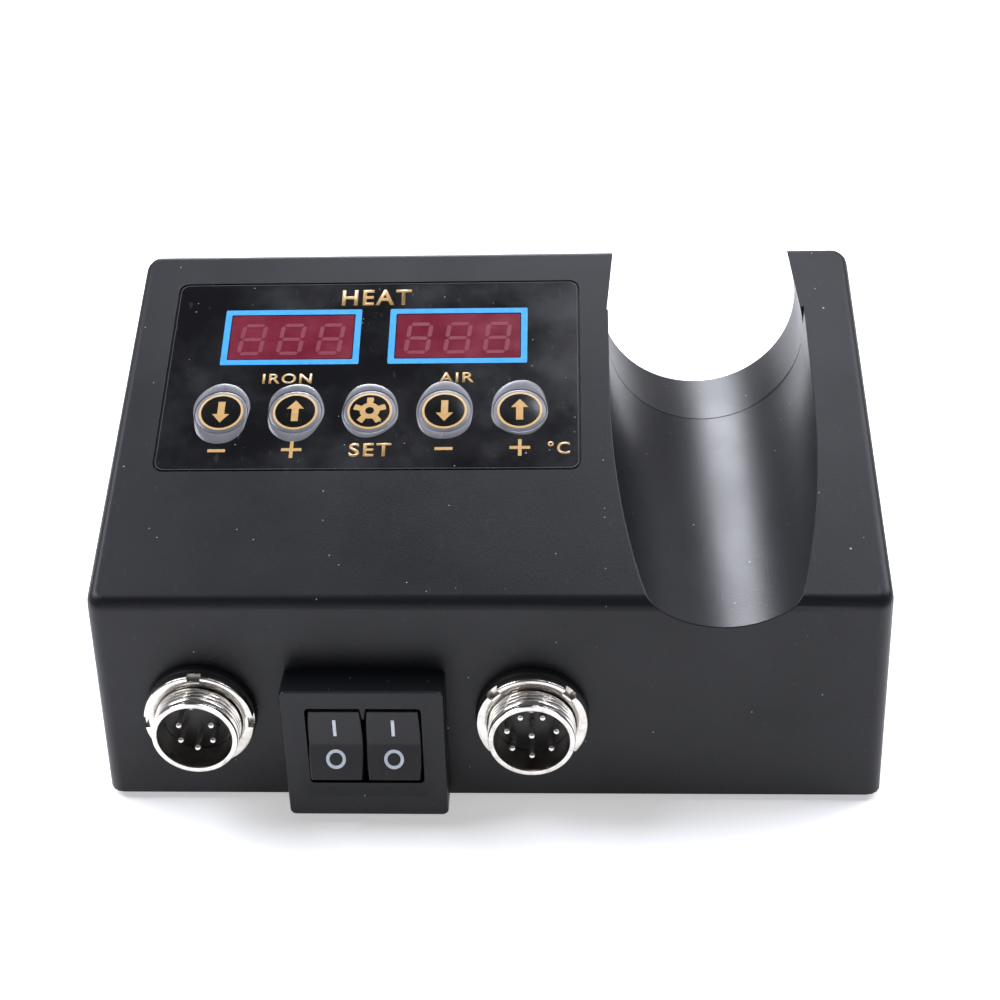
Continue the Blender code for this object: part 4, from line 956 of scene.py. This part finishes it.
for kind, x in SOCKET_X.items():
    spot = on_front(x, SOCKET_Z[kind])

    bm = bmesh.new()
    turned_by(bm, barrel_at, round_angles(SOCKET_STEPS))
    barrel = new_piece("threaded_barrel_" + kind, bm, nickel, "station", spot, math.radians(32.0))
    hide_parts("socket_shell_" + kind)

    bm = bmesh.new()
    section, cuts = nut_at(kind)
    turned_by(bm, section, round_angles(SOCKET_STEPS, cuts))
    nut = new_piece("slotted_nut_" + kind, bm, nickel, "station", spot, math.radians(35.0))
    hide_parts("ring_nut_" + kind)

    bm = bmesh.new()
    bore = BARREL_RADIUS + COLLAR_CLEARANCE
    turned(bm, [(bore, COLLAR_GAP), (COLLAR_RADIUS, COLLAR_GAP), (COLLAR_RADIUS, COLLAR_THICKNESS - 0.0004),
                (COLLAR_RADIUS - 0.00012, COLLAR_THICKNESS - 0.00012),
                (COLLAR_RADIUS - 0.0004, COLLAR_THICKNESS), (bore, COLLAR_THICKNESS)], SOCKET_STEPS)
    crease = math.radians(50.0)
    spacer = new_piece("spacer_" + kind, bm, spacer_black, "station", spot, crease)
    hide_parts("socket_collar_" + kind)

    wear("socket_insert_" + kind, insulator)
    for number, (px, py) in enumerate(pin_spots(kind)):
        bm = bmesh.new()
        profile = [(PIN_RADIUS, PIN_BACK), (PIN_RADIUS, PIN_FRONT - PIN_RADIUS)]
        for part in range(1, 7):
            a = math.pi / 2 * part / 7
            profile.append((PIN_RADIUS * math.cos(a), PIN_FRONT - PIN_RADIUS + PIN_RADIUS * math.sin(a)))
        turned(bm, profile, 20, closed=False)
        pin_place = spot @ Matrix.Translation((px, py, 0.0))
        name = "%s_%d" % (kind, number + 1)
        pin = new_piece("contact_" + name, bm, silver, "station", pin_place, math.radians(60.0))
        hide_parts("pin_" + name)


# ---------------------------------------------------------------- switch
# A double mains switch snaps into the shroud. Its housing and both rockers are black
# nylon, and the rockers carry the usual printed on and off signs. Both are on at rest.

SHROUD_X = -0.0226
SWITCH_Z = 0.0161
ROCKER_OFFSET = {"iron": -0.00535, "air": 0.00535}
ROCKER_RISE = 0.0002
ROCKER_PIVOT = 0.0025
ROCKER_REACH = 0.00475
ROCKER_HALF = 0.0072
ROCKER_TILT = math.radians(11.0)
ROCKER_MIDDLE = 0.0101
ROCKER_END = 0.0094
ROCKER_BACK = 0.0010
ROCKER_EDGE = 0.0004
SIGN_PALE = (0.62, 0.66, 0.74)
ON_LENGTH = 0.0036
ON_WIDTH = 0.0006
ON_MIDDLE = 0.0033
OFF_MIDDLE = 0.0031
OFF_STEPS = 64
OFF_RADIUS = 0.00182
OFF_STROKE = 0.00060

housing_black = moulded("housing_black", (0.0060, 0.0060, 0.0066), (0.0100, 0.0100, 0.0108), 0.42, dust=0.05)
rocker_black = moulded("rocker_nylon", (0.0075, 0.0076, 0.0085), (0.0115, 0.0116, 0.0128), 0.36, shine=0.32,
                       grain=3800.0, dust=0.05)
sign_ink = print_ink("sign_ink", SIGN_PALE, (0.44, 0.49, 0.60))
wear("switch_housing", housing_black, 0.00015)


def rocker_face(y):
    """Height of the rocker's face, a shallow V with a soft middle."""
    t = min(1.0, abs(y) / ROCKER_HALF)
    soft = math.sqrt(t * t + 0.0016) - 0.04
    return ROCKER_REACH - (1.0 - soft * 1.0395) * ROCKER_HALF * math.tan(ROCKER_TILT) - 0.00002


def rocker_section(t):
    y = t * ROCKER_HALF
    face = rocker_face(y)
    end_round = ROCKER_EDGE * max(0.0, (abs(t) - 0.97) / 0.03) ** 2
    half = (ROCKER_END + (ROCKER_MIDDLE - ROCKER_END) * (1 - abs(t) ** 2.2)) / 2
    ring = [(-half, -ROCKER_BACK), (half, -ROCKER_BACK)]
    for side in (1, -1):
        for k in range(5):
            a = math.pi / 2 * (k / 4 + (side < 0))
            across = side * (half - ROCKER_EDGE) + ROCKER_EDGE * math.cos(a)
            ring.append((across, face - ROCKER_EDGE + ROCKER_EDGE * math.sin(a)))
    return [Vector((px, y, pz - (end_round if pz > 0 else 0.0))) for px, pz in ring]


for kind, offset in ROCKER_OFFSET.items():
    body = "rocker_" + kind
    spot = on_front(SHROUD_X, SWITCH_Z) @ Matrix.Translation((offset, ROCKER_RISE, ROCKER_PIVOT))
    spot = spot @ Matrix.Rotation(-ROCKER_TILT, 4, "X")
    bm = bmesh.new()
    stations = [math.copysign(abs(s) ** 0.9, s) for s in [-1 + 2 * i / 48 for i in range(49)]]
    rows = [[bm.verts.new(p) for p in rocker_section(t)] for t in stations]
    for one, two in zip(rows, rows[1:]):
        count = len(one)
        for i in range(count):
            j = (i + 1) % count
            bm.faces.new((one[i], one[j], two[j], two[i]))
    bm.faces.new(rows[0][::-1])
    bm.faces.new(rows[-1])
    cap = new_piece("rocker_cap_" + kind, bm, rocker_black, body, spot, math.radians(30.0))
    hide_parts("rocker_" + kind)

    bm = bmesh.new()
    steps = 12
    low = ON_MIDDLE - ON_LENGTH / 2
    left = [bm.verts.new((-ON_WIDTH / 2, low + ON_LENGTH * k / steps, 0.0)) for k in range(steps + 1)]
    right = [bm.verts.new((ON_WIDTH / 2, low + ON_LENGTH * k / steps, 0.0)) for k in range(steps + 1)]
    for k in range(steps):
        bm.faces.new((left[k], right[k], right[k + 1], left[k + 1]))
    middle = Vector((0.0, -OFF_MIDDLE, 0.0))
    radii = (OFF_RADIUS, OFF_RADIUS - OFF_STROKE)
    add_band(bm, *[[p * r + middle for p in unit_circle(OFF_STEPS)] for r in radii])
    thicken(bm, 0.000006, PRINT_THICKNESS, lambda px, py: rocker_face(py))
    new_piece("rocker_signs_" + kind, bm, sign_ink, body, spot)


# ---------------------------------------------------------------- base
# A moulded plate closes the underside, held by four cross-head screws. Four moulded
# rubber feet are glued to it.

base_matt = moulded("base_matt", (0.0090, 0.0090, 0.0098), (0.0140, 0.0140, 0.0150), 0.55, dust=0.06)
foot_rubber = moulded("foot_rubber", (0.0085, 0.0085, 0.0085), (0.0150, 0.0150, 0.0145), 0.80, shine=0.2,
                      grain=1500.0, depth=0.00005, dust=0.12, lines=0.1)
zinc_steel = plated("zinc_steel", (0.42, 0.42, 0.43), (0.30, 0.29, 0.27), 0.32, (0.0, 0.0, 0.0))
wear("base_plate", base_matt, 0.0002)
FOOT_X = 0.0565
FOOT_Y = (0.0125, 0.0695)
FOOT_RADIUS = 0.0055
FOOT_TOP = 0.00025
FOOT_DIMPLE = 0.0018
number = 0
for x in (-FOOT_X, FOOT_X):
    for y in FOOT_Y:
        number += 1
        bm = bmesh.new()
        ground = -CASE_FLOOR
        turned(bm, [(FOOT_DIMPLE, ground + 0.0004), (FOOT_DIMPLE + 0.0004, ground),
                    (FOOT_RADIUS - 0.0009, ground), (FOOT_RADIUS - 0.00035, ground + 0.00012),
                    (FOOT_RADIUS - 0.0001, ground + 0.0004), (FOOT_RADIUS, FOOT_TOP),
                    (FOOT_DIMPLE, FOOT_TOP)], 64)
        core = FOOT_DIMPLE - 0.00005
        turned(bm, [(0.0003, ground + 0.0006), (core, ground + 0.0006), (core, FOOT_TOP),
                    (0.0003, FOOT_TOP)], 24)
        foot = new_piece("rubber_foot_%d" % number, bm, foot_rubber, "station",
                         CASE @ Matrix.Translation((x, y, 0.0)), math.radians(40.0))
        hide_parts("foot_%d" % number)
        wear("base_screw_%d" % number, zinc_steel, 0.00012)
for i in (1, 2):
    wear("board_screw_%d" % i, zinc_steel, 0.0001)


# ---------------------------------------------------------------- power board
# A plain phenolic board on four standoffs carries the wound transformer, taped yellow
# round its ferrite core, and the smoothing capacitor in its printed sleeve.

wear("power_board", board_finish("board_amber", (0.190, 0.105, 0.032), (0.260, 0.155, 0.055)), 0.0002)


def banded(name, core, tape, low, high, across):
    """Two finishes by height: a ferrite core above and below a taped winding."""
    made, tree, shader, where = new_finish(name)
    split = tree.nodes.new("ShaderNodeSeparateXYZ")
    feed(tree, split.inputs[0], where)
    above = sum_of(tree, "GREATER_THAN", split.outputs[2], high)
    below = sum_of(tree, "LESS_THAN", split.outputs[2], low)
    part = sum_of(tree, "MAXIMUM", above, below)
    grain = speckle(tree, where, across, 4.0)
    taped = between(tree, grain, tape, tuple(c * 0.7 for c in tape))
    cored = between(tree, grain, core, tuple(c * 1.5 for c in core))
    feed(tree, shader.inputs["Base Color"], between(tree, part, taped, cored))
    gloss = sum_of(tree, "MULTIPLY_ADD", grain, 0.25)
    tree.nodes[-1].inputs[2].default_value = 0.30
    feed(tree, shader.inputs["Roughness"], gloss)
    feed(tree, shader.inputs["Normal"], relief(tree, grain, 0.00004))
    return made


coil_low, coil_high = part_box("transformer")
wear("transformer", banded("taped_coil", (0.020, 0.020, 0.022), (0.55, 0.42, 0.05),
                           coil_low.z + 0.0035, coil_high.z - 0.0035, 700.0), 0.0004)
can_low, can_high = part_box("capacitor")
wear("capacitor", banded("sleeved_can", (0.45, 0.45, 0.46), (0.010, 0.020, 0.055),
                         can_low.z - 1.0, can_high.z - 0.0006, 900.0), 0.0003)


# ---------------------------------------------------------------- cord gland
# The mains cord enters the back wall through a black nylon bush, locked from inside by a
# hexagon nut.

BUSH_CREASE = math.radians(30.0)
gland_nylon = moulded("gland_nylon", (0.0085, 0.0085, 0.0090), (0.0135, 0.0135, 0.0140), 0.48, dust=0.06)
bm = smooth_copy("gland_bush")
bush = new_piece("cord_bush", bm, gland_nylon, "station", None, BUSH_CREASE)
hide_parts("gland_bush")
wear("gland_nut", gland_nylon, 0.0003)


# ---------------------------------------------------------------- bench and light
# A pale seamless sheet, lit by a softbox on each side, a stronger one behind and a small one
# overhead, in a pale room with a dim ceiling. The camera looks down at the station's front.

FLOOR_HALF = 4.0
LIGHT_TINT = (0.94, 0.96, 1.06)
BENCH_GLOW = 0.45
bm = bmesh.new()
bmesh.ops.create_grid(bm, x_segments=8, y_segments=8, size=FLOOR_HALF)
mesh = bpy.data.meshes.new("bench")
bm.to_mesh(mesh)
bm.free()
bench = bpy.data.objects.new("bench", mesh)
bpy.context.scene.collection.objects.link(bench)
bench_look, tree, shader, where = new_finish("bench_white")
soft = speckle(tree, where, 2.0, 2.0)
feed(tree, shader.inputs["Base Color"], between(tree, soft, (0.93, 0.93, 0.93), (0.95, 0.95, 0.95)))
shader.inputs["Roughness"].default_value = 0.9
shader.inputs["Specular IOR Level"].default_value = 0.1
feed(tree, shader.inputs["Emission Color"], (1.0, 1.0, 1.0))
shader.inputs["Emission Strength"].default_value = BENCH_GLOW
mesh.materials.append(bench_look)

world = bpy.data.worlds.new("studio")
bpy.context.scene.world = world
world.use_nodes = True
tree = world.node_tree
sky = tree.nodes.new("ShaderNodeTexCoord").outputs["Generated"]
split = tree.nodes.new("ShaderNodeSeparateXYZ")
feed(tree, split.inputs[0], sky)
level = graded(tree, split.outputs[2], [(0.0, 1.0), (0.20, 0.90), (0.45, 0.22), (0.80, 0.08)])
back = tree.nodes["Background"]
sides = sum_of(tree, "ABSOLUTE", split.outputs[0], 0.0)
level = sum_of(tree, "MULTIPLY", level, graded(tree, sides, [(0.15, 1.0), (0.70, 0.40)]))
feed(tree, back.inputs["Color"], between(tree, level, (0.0, 0.0, 0.0), (0.98, 0.98, 1.04)))
back.inputs["Strength"].default_value = 1.15


def softbox(name, place, target, width, height, power):
    data = bpy.data.lights.new(name, "AREA")
    data.shape = "RECTANGLE"
    data.size = width
    data.size_y = height
    data.energy = power
    data.color = LIGHT_TINT
    made = bpy.data.objects.new(name, data)
    bpy.context.scene.collection.objects.link(made)
    made.location = place
    made.rotation_euler = (Vector(target) - Vector(place)).to_track_quat("-Z", "Y").to_euler()
    return made


softbox("softbox_left", (-0.75, 0.10, 0.85), (0.0, 0.0, 0.04), 0.5, 0.6, 9.0)
softbox("softbox_right", (0.75, 0.25, 0.80), (0.0, 0.0, 0.04), 0.5, 0.6, 7.0)
softbox("softbox_back", (-0.13, 0.95, 0.76), (0.0, 0.0, 0.04), 0.50, 0.50, 19.0)
softbox("softbox_top", (0.28, 0.30, 1.00), (0.02, 0.0, 0.05), 0.42, 0.30, 2.5)

CAMERA_PLACE = (0.013647, -0.296398, 0.237747)
CAMERA_YAW = math.radians(-3.675)
CAMERA_PITCH = math.radians(32.613)
CAMERA_ROLL = math.radians(-2.273)
ahead = math.cos(CAMERA_PITCH)
forward = Vector((math.sin(CAMERA_YAW) * ahead, math.cos(CAMERA_YAW) * ahead, -math.sin(CAMERA_PITCH)))
level_right = Vector((math.cos(CAMERA_YAW), -math.sin(CAMERA_YAW), 0.0))
level_up = level_right.cross(forward)
right = math.cos(CAMERA_ROLL) * level_right + math.sin(CAMERA_ROLL) * level_up
up = -math.sin(CAMERA_ROLL) * level_right + math.cos(CAMERA_ROLL) * level_up
lens = bpy.data.cameras.new("camera")
lens.sensor_width = 36.0
lens.lens = 65.3
lens.shift_x = 0.0367
lens.shift_y = -0.0205
lens.clip_start = 0.01
camera = bpy.data.objects.new("camera", lens)
bpy.context.scene.collection.objects.link(camera)
turn = Matrix((right, up, -forward)).transposed().to_4x4()
camera.matrix_world = Matrix.Translation(CAMERA_PLACE) @ turn
bpy.context.scene.camera = camera
bpy.context.scene.view_settings.view_transform = "Standard"
